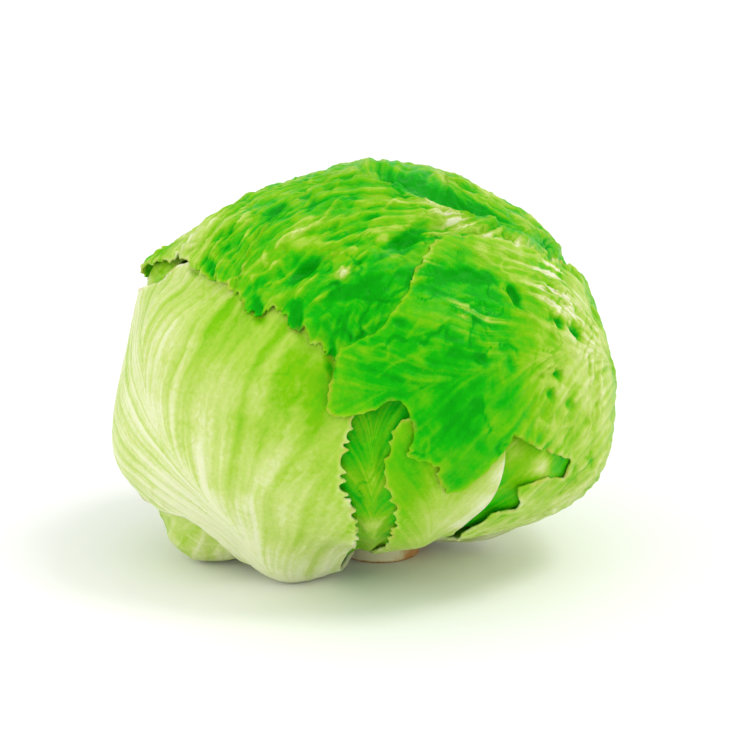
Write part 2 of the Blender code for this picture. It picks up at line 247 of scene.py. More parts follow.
HEART_FIBRE_SCALES = (260.0, 260.0, 40.0)
FOOT_RADIUS = 0.055  # from the head's centre to where the leaves meet the stem
TEAR_SEED = 3
TEAR_STEP = 0.5
TEAR_SMOOTHING = 5
TEAR_DEPTH = 0.9

# The leaves from the inside out. Outline points are (theta, phi, tooth depth in mm), cell is
# the sheet's grid in mm, and tear is cut out of the blade. Side ribs leave the midrib spacing
# apart and lead ahead of it by run and slope. Ribs, teeth, waves and lift are in mm. Tones run
# from 0, cream, to 1, deep green, at the foot and over the blade. Patches, lift and shine are
# soft spots of (theta, phi, amount, spread in degrees). Shine spots are glossier, and also
# carry a painted sheen: the tone there is made paler.
LEAVES = [
    dict(
        name="leaf_under", slot="leaf_deep_green", centre=(66, 14), cell=0.8,
        outline=[
            (14, -20, 0), (35, -28, 0), (60, -26, 0), (85, -24, 0), (105, -20, 0),
            (113, 0, 0), (110, 25, 0), (100, 45, 0), (90, 60, 0), (78, 66, 0), (66, 60, 0),
            (55, 50, 0), (35, 50, 0), (14, 45, 0),
        ],
        midrib=[(14, -4), (40, -3), (60, -2.5), (80, -2), (97, -1.5)],
        spacing=9.0, run=7.0, slope=(0.1, 0.1), rib_rise=1.6, rib_width=5.0,
        teeth=4.0, wave=0.0, waver=0.0, crinkle=0.4, furrow=0.4, bend=0.3,
        tones=(0.70, 0.88), veining=0.20, mottle=0.3, streak=(0.30, 0.5), gloss=0.05,
        patches=[(78, -3, -0.20, 4), (62, -3, -0.22, 4), (82, 35, -0.42, 8), (72, 46, -0.16, 9),
                 (77.5, 43, -0.50, 2.6)],
        lift=[(76, 46, 1.9, 13), (26, 4, 1.3, 9), (60, 33, 1.4, 8)],
    ),
    dict(
        name="leaf_back_left", slot="leaf_mid_green", centre=(80, -122), cell=0.75,
        outline=[
            (14, -60, 0), (28, -53, 0), (40, -48, 1), (50, -48, 1), (58, -58, 1),
            (75, -76, 1), (100, -84, 2), (120, -80, 2), (130, -95, 2), (132, -120, 2),
            (122, -145, 2), (104, -168, 2), (80, 176, 2), (50, 170, 1), (30, 168, 0),
            (14, 165, 0),
        ],
        midrib=[(14, -130), (40, -130), (70, -127), (100, -122), (122, -115)],
        spacing=9.0, run=6.0, slope=(0.0, 0.0), rib_rise=1.8, rib_width=5.0,
        teeth=5.0, wave=1.6, waver=1.0, crinkle=0.5, furrow=0.5, bend=0.7,
        tones=(0.12, 0.50), veining=0.20, mottle=0.4, streak=(0.26, 0.5), gloss=0.05,
        patches=[(48, -66, -0.06, 18)],
    ),
    dict(
        name="leaf_front", slot="leaf_pale", centre=(58, 16), cell=0.6,
        outline=[
            (14, -12, 0), (30, -5, 0.4), (45, 1, 1.5), (53, 2, 2), (62, 3, 2), (66, 4, 2),
            (72, 2, 2), (76, 1, 2), (80, 0.5, 2), (86, 1, 2), (93, 4, 1), (95, 12, 0),
            (93, 22, 0), (88, 28, 0), (85, 30.5, 0), (79, 31, 0), (69, 30, 0), (58, 26, 0),
            (50, 27, 0), (38, 33, 0), (26, 38, 0), (14, 40, 0),
        ],
        midrib=[(14, 14), (35, 14), (55, 15), (75, 16), (92, 16)],
        spacing=7.0, run=8.0, slope=(0.2, 0.2), rib_rise=0.4, rib_width=6.0,
        teeth=5.0, wave=0.4, waver=0.5, crinkle=0.12, furrow=0.2, bend=0.3,
        tones=(0.34, 0.53), veining=0.07, mottle=0.25, streak=(0.20, 0.35), gloss=0.05,
        patches=[(60, 26, -0.32, 5), (69, 29, -0.46, 5), (78, 31, -0.44, 4.5),
                 (64, 21, -0.14, 8), (56, 6, 0.08, 8), (82, 4, 0.14, 7), (88, 10, 0.12, 8)],
    ),
    dict(
        name="leaf_left", slot="leaf_pale_ribbed", centre=(78, -50), cell=0.65,
        outline=[
            (14, -72, 0), (28, -66, 0), (40, -57, 0), (50, -58, 0), (59, -62, 0),
            (62, -76, 0.5), (68, -92, 1), (80, -106, 1.5), (95, -108, 2), (105, -100, 2),
            (112, -84, 1), (122, -72, 0.5), (128, -58, 1), (128, -40, 1), (122, -22, 1),
            (114, -10, 1), (106, -7, 1), (97, -6, 2), (89, -6, 3), (84, -7, 3), (76, -7, 3),
            (68, -5.5, 3), (60, -5.5, 3), (54, -7, 2), (45, -10, 1), (32, -21, 0),
            (14, -34, 0),
        ],
        midrib=[(14, -40), (37, -40), (56, -42), (69, -46), (82, -51), (94, -59), (105, -68),
                (118, -76)],
        spacing=7.5, run=7.0, slope=(1.3, 0.1), rib_rise=0.6, rib_width=8.0,
        teeth=4.6, wave=0.8, waver=0.5, crinkle=0.14, furrow=0.3, bend=0.3,
        tones=(0.05, 0.19), veining=0.10, mottle=0.2, streak=(0.16, 0.85), gloss=0.05,
        patches=[(99, -12, 0.42, 12), (113, -26, 0.26, 12), (116, -46, 0.22, 11),
                 (80, -9, 0.16, 8), (64, -10, 0.18, 11), (103, -44, 0.10, 12),
                 (52, -24, 0.16, 13), (90, -33, 0.10, 10), (38, -36, 0.10, 10),
                 (118, -72, 0.06, 10), (62, -58, -0.10, 14)],
    ),
    dict(
        name="leaf_crown", slot="leaf_streaked_green", centre=(130, 140), cell=0.98,
        outline=[
            (14, 172, 0), (30, 178, 0), (50, -176, 1), (70, -162, 1.5), (85, -145, 2),
            (98, -125, 2), (105, -107, 2), (110, -96, 2), (117, -87, 1), (122, -73, 1),
            (121, -58, 1), (120, -44, 2), (115, -35, 2), (117, -28, 2), (114, -24, 2),
            (109, -15, 2), (106, -11, 1), (106, -2, 1), (112, 8, 1), (122, 20, 1),
            (128, 34, 1), (125, 52, 1), (118, 70, 1), (105, 90, 1), (85, 105, 1),
            (60, 110, 1), (35, 105, 0), (14, 100, 0),
        ],
        midrib=[(14, 150), (45, 148), (75, 138), (105, 122), (130, 98), (144, 60), (151, 33),
                (163, 10), (168, -80), (150, -95)],
        spacing=8.0, run=7.0, slope=(0.1, 0.1), rib_rise=1.2, rib_width=3.4,
        teeth=5.0, wave=1.2, waver=2.2, crinkle=0.66, furrow=1.3, bend=1.0,
        tones=(0.22, 0.66), veining=0.22, mottle=0.9, streak=(0.30, 0.8), gloss=0.06,
        patches=[(118, -12, 0.24, 12), (142, -48, 0.10, 12), (128, -76, -0.28, 13),
                 (125, 5, 0.26, 11), (129, -3, 0.22, 7), (133, -17, -0.32, 8),
                 (166, 38, 0.38, 7), (156, 56, 0.36, 6), (147, 68, 0.20, 6),
                 (154, 32, -0.30, 3.5), (147, 36, -0.30, 4), (139, 49, -0.32, 4.5),
                 (130, 62, -0.30, 5)],
        shine=[(152, 27, 0.5, 5), (145, 38, 0.6, 5), (137, 52, 0.7, 5), (128, 65, 0.8, 6),
               (128, -12, 0.4, 3), (135, 5, 0.5, 3), (156, 12, 0.25, 5)],
    ),
    dict(
        name="leaf_right", slot="leaf_glossy_green", centre=(108, 56), cell=0.75,
        outline=[
            (14, 22, 0), (30, 35, 0), (45, 31, 0), (54, 27, 0.5), (64, 21, 0), (74, 16, 1),
            (79, 13, 1.5), (83, 12.5, 1.5), (84.5, 6, 1), (89, 7, 1), (94, 6.5, 1),
            (98, 4.5, 1), (96, -1, 1), (94, -7, 0.7), (95, -12, 0.7), (102, -12, 0.7),
            (109, -10.5, 1), (114, -1, 0.6), (121, 5, 0.6), (131, 13, 1), (138, 20, 1.5),
            (140, 34, 1.5), (136, 50, 1.5), (128, 66, 2), (120, 84, 2), (112, 104, 2),
            (98, 124, 2), (80, 138, 2), (60, 146, 1), (40, 148, 0.5), (22, 140, 0),
            (14, 122, 0),
        ],
        midrib=[(14, 96), (35, 100), (55, 101), (72, 97), (86, 88), (96, 75), (102, 60),
                (104, 46), (104, 33), (103, 20), (101, 8), (100, 0)],
        tear=[
            (46, 15), (74, 13), (75.5, 19), (80, 25), (85, 30), (88, 32), (84, 38),
            (80, 46), (77, 53), (72, 53), (74, 44), (73, 36), (65, 40), (65.5, 31),
            (54, 27.5),
        ],
        spacing=9.0, run=6.0, slope=(0.5, 0.7), rib_rise=1.0, rib_width=3.4,
        teeth=4.6, wave=0.7, waver=1.2, crinkle=0.46, furrow=0.5, bend=0.8,
        tones=(0.10, 0.60), veining=0.18, mottle=0.75, streak=(0.20, 0.45), gloss=0.06,
        patches=[(96, 15, 0.30, 16), (118, 24, 0.29, 13), (105, -3, 0.27, 9),
                 (100, 58, -0.22, 13), (84, 64, -0.18, 16), (114, 70, -0.16, 12),
                 (60, 50, -0.06, 18), (84, 34, 0.10, 7), (84, 47, -0.02, 6), (133, 45, -0.06, 12)],
        shine=[(118, 22, 0.6, 4.5), (113, 29, 0.6, 4.5), (120, 60, 1.2, 9), (131, 15, 0.5, 3),
               (107, 66, 0.3, 8), (134, 42, 0.3, 6)],
    ),
]

# The sheet's grid and its cut margin, in mm
SHEET_BORDER = 2
SHEET_SEED = 40
TOOTHED_BAND = 6
DEEPEST = 9.0  # the distance in from the margin counts no further in the upper half
SNAP_REACH = 0.3  # part of a cell by which a grid corner is moved onto the outline
LEAST_SLOPE = 0.3
FACES_TRIED = 500
TOOTH_STEP = 0.3
TOOTH_JITTER = 0.38
TOOTH_DEPTHS = (0.35, 1.1)
TOOTH_ROUNDNESS = 2.8
TOOTH_REACH = 3  # points to each side that give the margin's direction
WAVER_SIZE = 9.0

# Ribs and the veins grown between them, in mm. Where a pair is a range of what a rib or vein
# can be, it is from least to most, and where it changes along a rib, from root to tip
MIDRIB_REACH = 80.0
MIDRIB_AHEAD = 2.0
RIB_START = -120.0
RIB_STOP = 6
RIB_REACH = 110.0
RIB_STEP = 1.5
RIB_MARGIN = 2.5
RIB_SPACINGS = (0.7, 1.35)
RIB_SPREADS = (0.9, 1.12)
RIB_WANDER = 1.4
RIB_WANDER_LENGTHS = (9, 15)
RIB_WANDER_PHASES = (0, 6)
RIB_WANDER_REACH = 40
SHORTEST_RIB = 4
RIB_SIZES = (0.25, 1.0)
RIB_RISE = (0.10, 0.60)
RIB_RISE_TAPER = (1, 0.3)
RIB_WIDTH = (1.5, 0.9)
RIB_PALE = (0.35, 1.0)
RIB_PALE_TAPER = (1, 0.5)
VEIN_RISE = (0.06, 0.22)
VEIN_WIDTH = (0.75, 1.10)
VEIN_PALE = (0.18, 0.50)
MANY_VEINS = 14  # beyond a vein that carries this many others, none grows thicker
VEIN_SEED = 60
VEIN_ROUNDS = 60
VEIN_CLEARANCE = 0.45
NODES_AT_ONCE = 400
SOURCE_JITTER = 0.45
SOURCE_MARGIN = 1.0
MAP_BORDER = 4
MAP_STEP = 0.4
MAP_SLACK = 0.01  # keeps the last point of a line
MAP_REACH = 8
WIDEST_GAP = 8.0
RIB_RUN_DOWN = 60.0
VEIN_STEP = 1.2
SOURCE_SPACING = 4.6
SOURCE_REACHED = 2.3
VEIN_INERTIA = 0.9
RASTER = 0.5

# Relief of a leaf, in mm and degrees. Each noise is (amount, size in mm, seed, octaves)
NOISES = dict(
    sweep=(8, 26, 27, 1), shake=(1.5, 8, 28, 1), blister=(0.6, 14, 3, 1),
    bump=(0.8, 12, 11, 1), small_bump=(0.45, 5, 23, 2), wave=(2.5, 14, 5, 1),
    small_wave=(1.5, 6, 6, 1), crest=(1, 12, 51, 2), crest_place=(1, 20, 52, 1),
    groove=(1, 10, 61, 2), groove_place=(1, 18, 62, 1),
)
SPINE_TAPER = (1.15, 160, 0.15)  # thickness at the foot, length to nothing, least thickness
CRINKLE_THETAS = (20, 75)
TOP_THETAS = (148, 172)
TOP_CALM = 0.5
BLISTER = 0.5
BLISTER_MEAN = 0.7
BLISTER_GAPS = (0.3, 3.0)
FOLD_WIDTH = 6.5
FOLD_LENGTH = 20
FOLD_SHIFT = 3.1
FOLD_SEED = 31
FOLD_CREST = 0.6
FOLD_DEPTH = 2.2
FRILL = 0.6
FRILL_MEAN = 0.9
FRILL_WIDTH = 6
CREST_LINE = 0.14
CREST_PLACE = (-0.1, 0.4)
GROOVE_LINE = 0.11
GROOVE_PLACE = (-0.1, 0.3)
GROOVE = 0.8
VEIN_RELIEF = 0.5
SUNK = 0.9
PIT_DEPTH = 0.0011
LOOSE_PIT_SHARE = 0.3
HOLLOW_DEPTH = 0.005
# Colour weights: painted shade in dents, hollows, low bumps, furrows and grooves; the veins' and
# midrib's own paleness; and a painted highlight along crease crests and crest lines
PIT_RANGE = (-0.3, 1.3)
BUMP_RANGE = (-0.3, 0.6)
BUMP_SHADE = 0.5
FOLD_SHADE = 0.35
PALE_SPINE = 0.7
PAINTED_CREASE_HIGHLIGHT = 1.7
PAINTED_CREST_HIGHLIGHT = 1.2

# Colours. Noise scales are in waves a metre, or along and across a leaf's flow in waves a mm
TONE_THETAS = (25, 85)
SPINE_PALE = 0.15
SPINE_PALE_WIDTH = 9
SPINE_PALE_FADE = (140, 20)
STREAK_LENGTH = 9
BLOTCH_SCALE = 105.0
CLOUD_SCALE = 34.0
GRAIN_SCALE = 700.0
NET_SCALE = 300.0
RUST_SCALE = 160.0
GLINT_SCALES = (0.22, 0.10, 0.0)
WRINKLE_SCALES = (0.9, 0.14, 0.0)
MARGIN_WIDTH = 5.0
LEAF_BUMP = 0.0005
LEAF_GLOW_DEPTH = 0.003
LEAF_TONES = [
    (0.00, (0.75, 0.81, 0.50)),
    (0.18, (0.55, 0.68, 0.20)),
    (0.36, (0.38, 0.59, 0.06)),
    (0.54, (0.20, 0.51, 0.002)),
    (0.70, (0.075, 0.48, 0.0)),
    (0.85, (0.004, 0.43, 0.0)),
    (1.00, (0.000, 0.34, 0.0)),
]
BROWNING = (0.50, 0.33, 0.04)

FLOOR_SIZE = 12.0
FLOOR_COLOUR = (0.94, 0.94, 0.94, 1)
SKY_STRENGTH = 1.0
SUN_STRENGTH = 0.75
SUN_SOFTNESS = 20  # degrees
SUN_HEADING = (0.45, -0.12, 0.85)
FILL_SIZE = 0.6
FILL_WATTS = 1.3
FILL_PLACE = (-0.75, -0.6, 0.30)

# Camera: the photograph's frame, and where the stem's foot is in it
VIEW_TILT = 15.0
VIEW_DISTANCE = 0.90
FRAME_PIXELS = 735
PIXEL_SIZE = 0.000325
STEM_PIXEL = (380.0, 554.0)


def direction(theta, phi):
    t, p = np.radians(theta), np.radians(phi)
    return np.stack([np.sin(t) * np.sin(p), -np.sin(t) * np.cos(p), -np.cos(t)], -1)


def theta_of(d):
    return np.degrees(np.arccos(np.clip(-d[..., 2], -1, 1)))


def unit(vectors):
    return vectors / np.maximum(np.linalg.norm(vectors, axis=-1, keepdims=True), TINY)


def left_of(ahead):
    """Flat unit vectors a quarter turn anticlockwise from the given ones."""
    ahead = unit(ahead)
    return np.stack([-ahead[..., 1], ahead[..., 0]], -1)


def between(ends, part):
    return ends[0] + (ends[1] - ends[0]) * part


def smoothstep(low, high, x):
    t = np.clip((x - low) / (high - low), 0, 1)
    return t * t * (3 - 2 * t)


def lattice_noise(points, seed):
    """Smooth gradient noise, about -1 to 1, with features one unit wide."""
    draw = np.random.RandomState(seed)
    order = np.tile(draw.permutation(256), 2)
    slopes = unit(draw.normal(size=(256, 3)))
    cell = np.floor(points).astype(int)
    part = points - cell
    fade = part**3 * (part * (part * 6 - 15) + 10)
    total = np.zeros(len(points))
    for corner in itertools.product((0, 1), repeat=3):
        at = (cell + corner) & 255
        key = order[order[order[at[:, 0]] + at[:, 1]] + at[:, 2]]
        weight = np.prod(np.where(corner, fade, 1 - fade), axis=1)
        total += weight * ((part - corner) * slopes[key]).sum(1)
    return total * NOISE_GAIN


def noise_at(points, size, seed, octaves=1):
    """Noise at points in metres whose largest features have the given size in mm."""
    return sum(
        lattice_noise(points * (2**k / (size * MM)), seed + 100 * k) / 2**k
        for k in range(octaves)
    )


def noise_lines(noise, width):
    """Narrow lines, 1 along their middle, where the noise passes through zero."""
    return np.clip(1 - np.abs(noise) / width, 0, 1)


def swelling(d):
    """A sum of slow waves in random directions."""
    draw = np.random.RandomState(SWELL_SEED)
    total = np.zeros(d.shape[:-1])
    for _ in range(SWELL_WAVES):
        heading = draw.normal(size=3)
        heading *= draw.uniform(SWELL_LOW, SWELL_HIGH) / np.linalg.norm(heading)
        total += np.cos(d @ heading + draw.uniform(0, 2 * math.pi))
    return total * SWELL_HEIGHT / math.sqrt(SWELL_WAVES)


def beside_edge(points, a, b):
    """How far along the edge from a to b each point lies, 0 to 1, and its gap from there."""
    edge = b - a
    part = np.clip((points - a) @ edge / max(edge @ edge, TINY**2), 0, 1)
    return part, points - a - part[..., None] * edge


def courses(d, bands):
    """Height of the rounded bands along their courses at each direction."""
    total = np.zeros(d.shape[:-1])
    for height, half_width, course in bands:
        points = direction(*np.array(course, float).T)
        nearest = np.full(d.shape[:-1], np.inf)
        for a, b in zip(points[:-1], points[1:]):
            part, _ = beside_edge(d, a, b)
            foot = unit(a + part[..., None] * (b - a))
            nearest = np.minimum(nearest, np.degrees(np.linalg.norm(d - foot, axis=-1)))
        total = total + height * np.exp(-((nearest / half_width) ** 2))
    return total


def loose_dents():
    """Random small dents, none on the smooth feet of the leaves or the pale left leaf."""
    draw = np.random.RandomState(LOOSE_DENT_SEED)
    found = []
    while len(found) < LOOSE_DENTS:
        theta = math.degrees(math.acos(draw.uniform(-1, 1)))
        phi = draw.uniform(-180, 180)
        half = draw.uniform(*LOOSE_DENT_LENGTHS)
        dent = (theta, phi, half, half * draw.uniform(*LOOSE_DENT_SHAPES), draw.uniform(0, 180),
                draw.uniform(*LOOSE_DENT_DEPTHS))
        smooth_front = SMOOTH_PHIS[0] < phi < SMOOTH_PHIS[1]
        if theta > (SMOOTH_FRONT_THETA if smooth_front else SMOOTH_FOOT_THETA):
            found.append(dent)
    return found


def dents(d, listed):
    """Depth in metres, with a steep wall and a faint raised rim."""
    total = np.zeros(d.shape[:-1])
    spots = d * DENT_RADIUS
    bend = np.stack([noise_at(spots, *noise) for noise in DENT_BEND_NOISES], -1)
    for theta, phi, length, width, turn, depth in listed:
        near = (d @ direction(theta, phi)) > math.cos(math.radians(DENT_REACH * length))
        if not near.any():
            continue
        u, v = to_chart((theta, phi), d[near]).T + bend[near].T * DENT_BEND
        c, s = math.cos(math.radians(turn)), math.sin(math.radians(turn))
        reach = ((c * u + s * v) / length) ** 2 + ((c * v - s * u) / width) ** 2
        rim = DENT_RIM * reach * np.exp(-reach)
        total[near] += depth * MM * (np.exp(-(reach**DENT_STEEPNESS)) - rim)
    return total


def near_spot(d, theta, phi, spread):
    """1 at one direction, falling away smoothly over the spread in degrees."""
    angle = np.degrees(np.arccos(np.clip(d @ direction(theta, phi), -1, 1)))
    return np.exp(-((angle / spread) ** 2))


def add_spots(total, d, spots):
    """The total with soft spots of (theta, phi, amount, spread) added."""
    for theta, phi, amount, spread in spots:
        total = total + amount * near_spot(d, theta, phi, spread)
    return total


def head_radius(d):
    x = d[..., 0] / np.where(d[..., 0] < 0, REACH_LEFT, REACH_RIGHT)
    y = d[..., 1] / np.where(d[..., 1] < 0, REACH_FRONT, REACH_BACK)
    z = d[..., 2] / np.where(d[..., 2] > 0, REACH_UP, REACH_DOWN)
    power = SQUARENESS
    radius = (abs(x) ** power + abs(y) ** power + abs(z) ** power) ** (-1 / power)
    radius = add_spots(radius, d, BULGES)
    return radius + swelling(d) - courses(d, HOLLOWS) - dents(d, DENTS + loose_dents())


def blade_thickness(d):
    return BLADE + BASE_EXTRA * np.exp(-(((theta_of(d) - BASE_THETA) / BASE_SPREAD) ** 2))


def chart_axes(centre):
    """The leaf's middle direction, with the two directions across and down from it."""
    phi = math.radians(centre[1])
    middle = direction(*centre)
    across = np.array([math.cos(phi), math.sin(phi), 0.0])
    return middle, across, np.cross(across, middle)


def to_chart(centre, d):
    """Flatten directions about the leaf's middle, in degrees from it."""
    middle, across, down = chart_axes(centre)
    angle = np.arccos(np.clip(d @ middle, -1, 1))
    u, v = d @ across, d @ down
    length = np.maximum(np.hypot(u, v), TINY)
    return np.degrees(np.stack([u, v], -1) * (angle / length)[..., None])


def from_chart(centre, flat):
    middle, across, down = chart_axes(centre)
    length = np.maximum(np.hypot(flat[..., 0], flat[..., 1]), TINY)[..., None]
    angle = np.radians(length)
    side = (flat[..., :1] * across + flat[..., 1:] * down) / length
    return np.cos(angle) * middle + np.sin(angle) * side


def chart_points(leaf, points):
    points = np.array(points, float)
    return to_chart(leaf["centre"], direction(points[:, 0], points[:, 1]))


def curve_through(chain, steps):
    """Catmull-Rom pieces between the inner points of a chain."""
    t = (np.arange(steps) / steps)[:, None]
    pieces = [
        0.5 * (2 * p1 + (p2 - p0) * t + (2 * p0 - 5 * p1 + 4 * p2 - p3) * t**2
               + (3 * p1 - p0 - 3 * p2 + p3) * t**3)
        for p0, p1, p2, p3 in zip(chain, chain[1:], chain[2:], chain[3:])
    ]
    return np.vstack(pieces)


def open_curve(points, steps):
    """A curve through all the points, whose end pieces carry straight on."""
    chain = np.vstack([2 * points[:1] - points[1:2], points, 2 * points[-1:] - points[-2:-1]])
    return np.vstack([curve_through(chain, steps), points[-1:]])


def arc_length(points):
    """Distance from the first point to each one along their path."""
    return np.concatenate([[0], np.cumsum(np.linalg.norm(np.diff(points, axis=0), axis=1))])


def along_path(points, length, at):
    """The points' columns at the given distances along their path."""
    return np.stack([np.interp(at, length, column) for column in points.T], -1)


def leaf_loop(leaf):
    """The smooth outline in the leaf's chart, with the tooth depth as a third column."""
    depth = np.array(leaf["outline"], float)[:, 2:]
    points = np.hstack([chart_points(leaf, leaf["outline"]), depth])
    return curve_through(np.vstack([points[-1:], points, points[:2]]), OUTLINE_STEPS)


def margin_distance(loop, flat):
    """Signed distance from a closed outline in its own unit, negative inside it."""
    nearest = np.full(flat.shape[:-1], np.inf)
    inside = np.zeros(flat.shape[:-1], bool)
    for a, b in zip(loop, np.roll(loop, -1, axis=0)):
        _, gap = beside_edge(flat, a, b)
        nearest = np.minimum(nearest, gap[..., 0] ** 2 + gap[..., 1] ** 2)
        crosses = (a[1] > flat[..., 1]) != (b[1] > flat[..., 1])
        slope = (b[0] - a[0]) / (b[1] - a[1]) if b[1] != a[1] else 0.0
        inside ^= crosses & (flat[..., 0] < a[0] + (flat[..., 1] - a[1]) * slope)
    nearest = np.sqrt(nearest)
    return np.where(inside, -nearest, nearest)


def layers(order, d):
    """Outer surface under the leaves above this one, how bare it lies, and how open."""
    radius = head_radius(d)
    bare = np.ones(d.shape[:-1])
    open_part = np.ones(d.shape[:-1])
    for leaf in LEAVES[order + 1:]:
        outside = margin_distance(leaf["loop"][:, :2], to_chart(leaf["centre"], d)) * DEGREE
        covered = 1 - smoothstep(COVER_MARGIN, COVER_MARGIN + COVER_FADE, outside)
        hidden = 1 - smoothstep(*HIDDEN_FADE, outside)
        radius = radius - covered * (blade_thickness(d) + LEAF_GAP) - hidden * UNDER_DROP
        bare = bare * (1 - covered)
        open_part = open_part * smoothstep(*OPEN_FADE, outside)
    return radius, bare, open_part


def toothed_loop(leaf, seed):
    """The outline in mm, evenly divided, with teeth cut in square to the margin."""
    loop = leaf["loop"] * [DEGREE / MM, DEGREE / MM, 1]
    closed = np.vstack([loop, loop[:1]])
    length = arc_length(closed[:, :2])
    whole = length[-1]
    at = np.arange(0, whole, TOOTH_STEP)
    rim = along_path(closed, length, at)
    draw = np.random.RandomState(seed)
    teeth = int(whole / leaf["teeth"])
    ends = (np.arange(teeth) + draw.uniform(-TOOTH_JITTER, TOOTH_JITTER, teeth)) / teeth * whole
    tooth = np.searchsorted(ends, at) % teeth
    start = ends[(tooth - 1) % teeth]
    part = ((at - start) % whole) / ((ends[tooth] - start) % whole)
    scallop = 1 - np.abs(2 * part - 1) ** TOOTH_ROUNDNESS
    cut = draw.uniform(*TOOTH_DEPTHS, teeth)[tooth] * scallop * rim[:, 2]
    turn = at / whole * 2 * math.pi
    ring = np.stack([np.cos(turn), np.sin(turn), 0 * turn], -1) * whole / (2 * math.pi * WAVER_SIZE)
    cut = cut + leaf["waver"] * lattice_noise(ring, seed) * np.minimum(rim[:, 2], 1)
    line = rim[:, :2]
    ahead = np.roll(line, -TOOTH_REACH, axis=0) - np.roll(line, TOOTH_REACH, axis=0)
    following = np.roll(line, -1, axis=0)
    area = np.sum(line[:, 0] * following[:, 1] - line[:, 1] * following[:, 0])
    return line + np.sign(area) * left_of(ahead) * cut[:, None]


def clipped_grid(field, low, cell):
    """Faces of a square grid where the field is below zero, cut along the field's zero line."""
    rows, cols = field.shape
    slope = np.stack(np.gradient(field, cell), -1)
    spots = np.stack(np.meshgrid(np.arange(rows), np.arange(cols), indexing="ij"), -1) * cell + low
    close = np.abs(field) < SNAP_REACH * cell
    steep = np.maximum((slope**2).sum(-1), LEAST_SLOPE)
    spots = spots - np.where(close, field / steep, 0)[..., None] * slope
    field = np.where(close, 0.0, field)
    inside = field <= 0
    number = np.full(field.shape, -1)
    corners = (inside[:-1, :-1], inside[1:, :-1], inside[1:, 1:], inside[:-1, 1:])
    whole = np.logical_and.reduce(corners)
    part = np.logical_or.reduce(corners) & ~whole
    number[inside] = np.arange(inside.sum())
    points = [spots[inside]]
    count = len(points[0])
    i, j = np.nonzero(whole)
    ring = [(i, j), (i + 1, j), (i + 1, j + 1), (i, j + 1)]
    faces = np.stack([number[corner] for corner in ring], -1).tolist()
    crossings = {}
    for i, j in zip(*np.nonzero(part)):
        ring = [(i, j), (i + 1, j), (i + 1, j + 1), (i, j + 1)]
        face = []
        for a, b in zip(ring, ring[1:] + ring[:1]):
            if inside[a]:
                face.append(int(number[a]))
            if inside[a] != inside[b] and field[a] != 0 and field[b] != 0:
                key = (min(a, b), max(a, b))
                if key not in crossings:
                    t = field[a] / (field[a] - field[b])
                    points.append((spots[a] * (1 - t) + spots[b] * t)[None])
                    crossings[key] = count
                    count += 1
                face.append(crossings[key])
        if len(face) > 2:
            faces.append(face)
    return np.vstack(points), faces


class Midrib:
    """The leaf's middle rib as a curve in mm in the chart, carried straight on at both ends."""

    def __init__(self, leaf):
        curve = open_curve(chart_points(leaf, leaf["midrib"]) * DEGREE / MM, OUTLINE_STEPS)
        self.curve = np.vstack([
            curve[0] + unit(curve[0] - curve[1]) * MIDRIB_REACH, curve,
            curve[-1] + unit(curve[-1] - curve[-2]) * MIDRIB_REACH,
        ])
        self.along = arc_length(self.curve) - MIDRIB_REACH
        self.length = self.along[-2]

    def point(self, along):
        return along_path(self.curve, self.along, along)

    def beside(self, along, across):
        """The point this far along the rib and this far to one side of it."""
        ahead = self.point(along + MIDRIB_AHEAD) - self.point(along - MIDRIB_AHEAD)
        return self.point(along) + left_of(ahead) * across[..., None]

    def locate(self, flat):
        """Distance across from the rib and along it for points in the chart."""
        best = np.full(len(flat), np.inf)
        along, across = np.zeros(len(flat)), np.zeros(len(flat))
        for a, b, start, end in zip(self.curve, self.curve[1:], self.along, self.along[1:]):
            edge = b - a
            part, gap = beside_edge(flat, a, b)
            dist = np.hypot(gap[:, 0], gap[:, 1])
            side = np.where(edge[0] * gap[:, 1] - edge[1] * gap[:, 0] < 0, -1.0, 1.0)
            nearer = dist < best
            best = np.where(nearer, dist, best)
            along = np.where(nearer, start + part * (end - start), along)
            across = np.where(nearer, dist * side, across)
        return across, along


def rib_lead(leaf, across):
    """How far along the midrib's direction a side rib has run at this distance from it."""
    slope = np.where(across < 0, leaf["slope"][0], leaf["slope"][1])
    return leaf["run"] * np.sqrt(np.abs(across)) + slope * np.abs(across)


def side_ribs(leaf, midrib, draw):
    """Ribs that leave the midrib at a sharp angle and spread towards the margin."""
    ribs = []
    for side in (-1.0, 1.0):
        start = RIB_START + draw.uniform(0, leaf["spacing"])
        while start < midrib.length - RIB_STOP:
            across = np.arange(0.0, RIB_REACH, RIB_STEP)
            turns = across / draw.uniform(*RIB_WANDER_LENGTHS) + draw.uniform(*RIB_WANDER_PHASES)
            wander = RIB_WANDER * np.sin(turns)
            spread = draw.uniform(*RIB_SPREADS)
            along = start + spread * rib_lead(leaf, across * side) + wander * across / RIB_WANDER_REACH
            path = midrib.beside(along, across * side)[along > -RIB_RUN_DOWN]
            inside = margin_distance(leaf["loop_mm"], path) < -RIB_MARGIN
            if inside.any():
                path, inside = path[np.argmax(inside):], inside[np.argmax(inside):]
                end = len(path) if inside.all() else int(np.argmin(inside))
                if end > SHORTEST_RIB:
                    ribs.append(path[:end])
            start += leaf["spacing"] * draw.uniform(*RIB_SPACINGS)
    return ribs


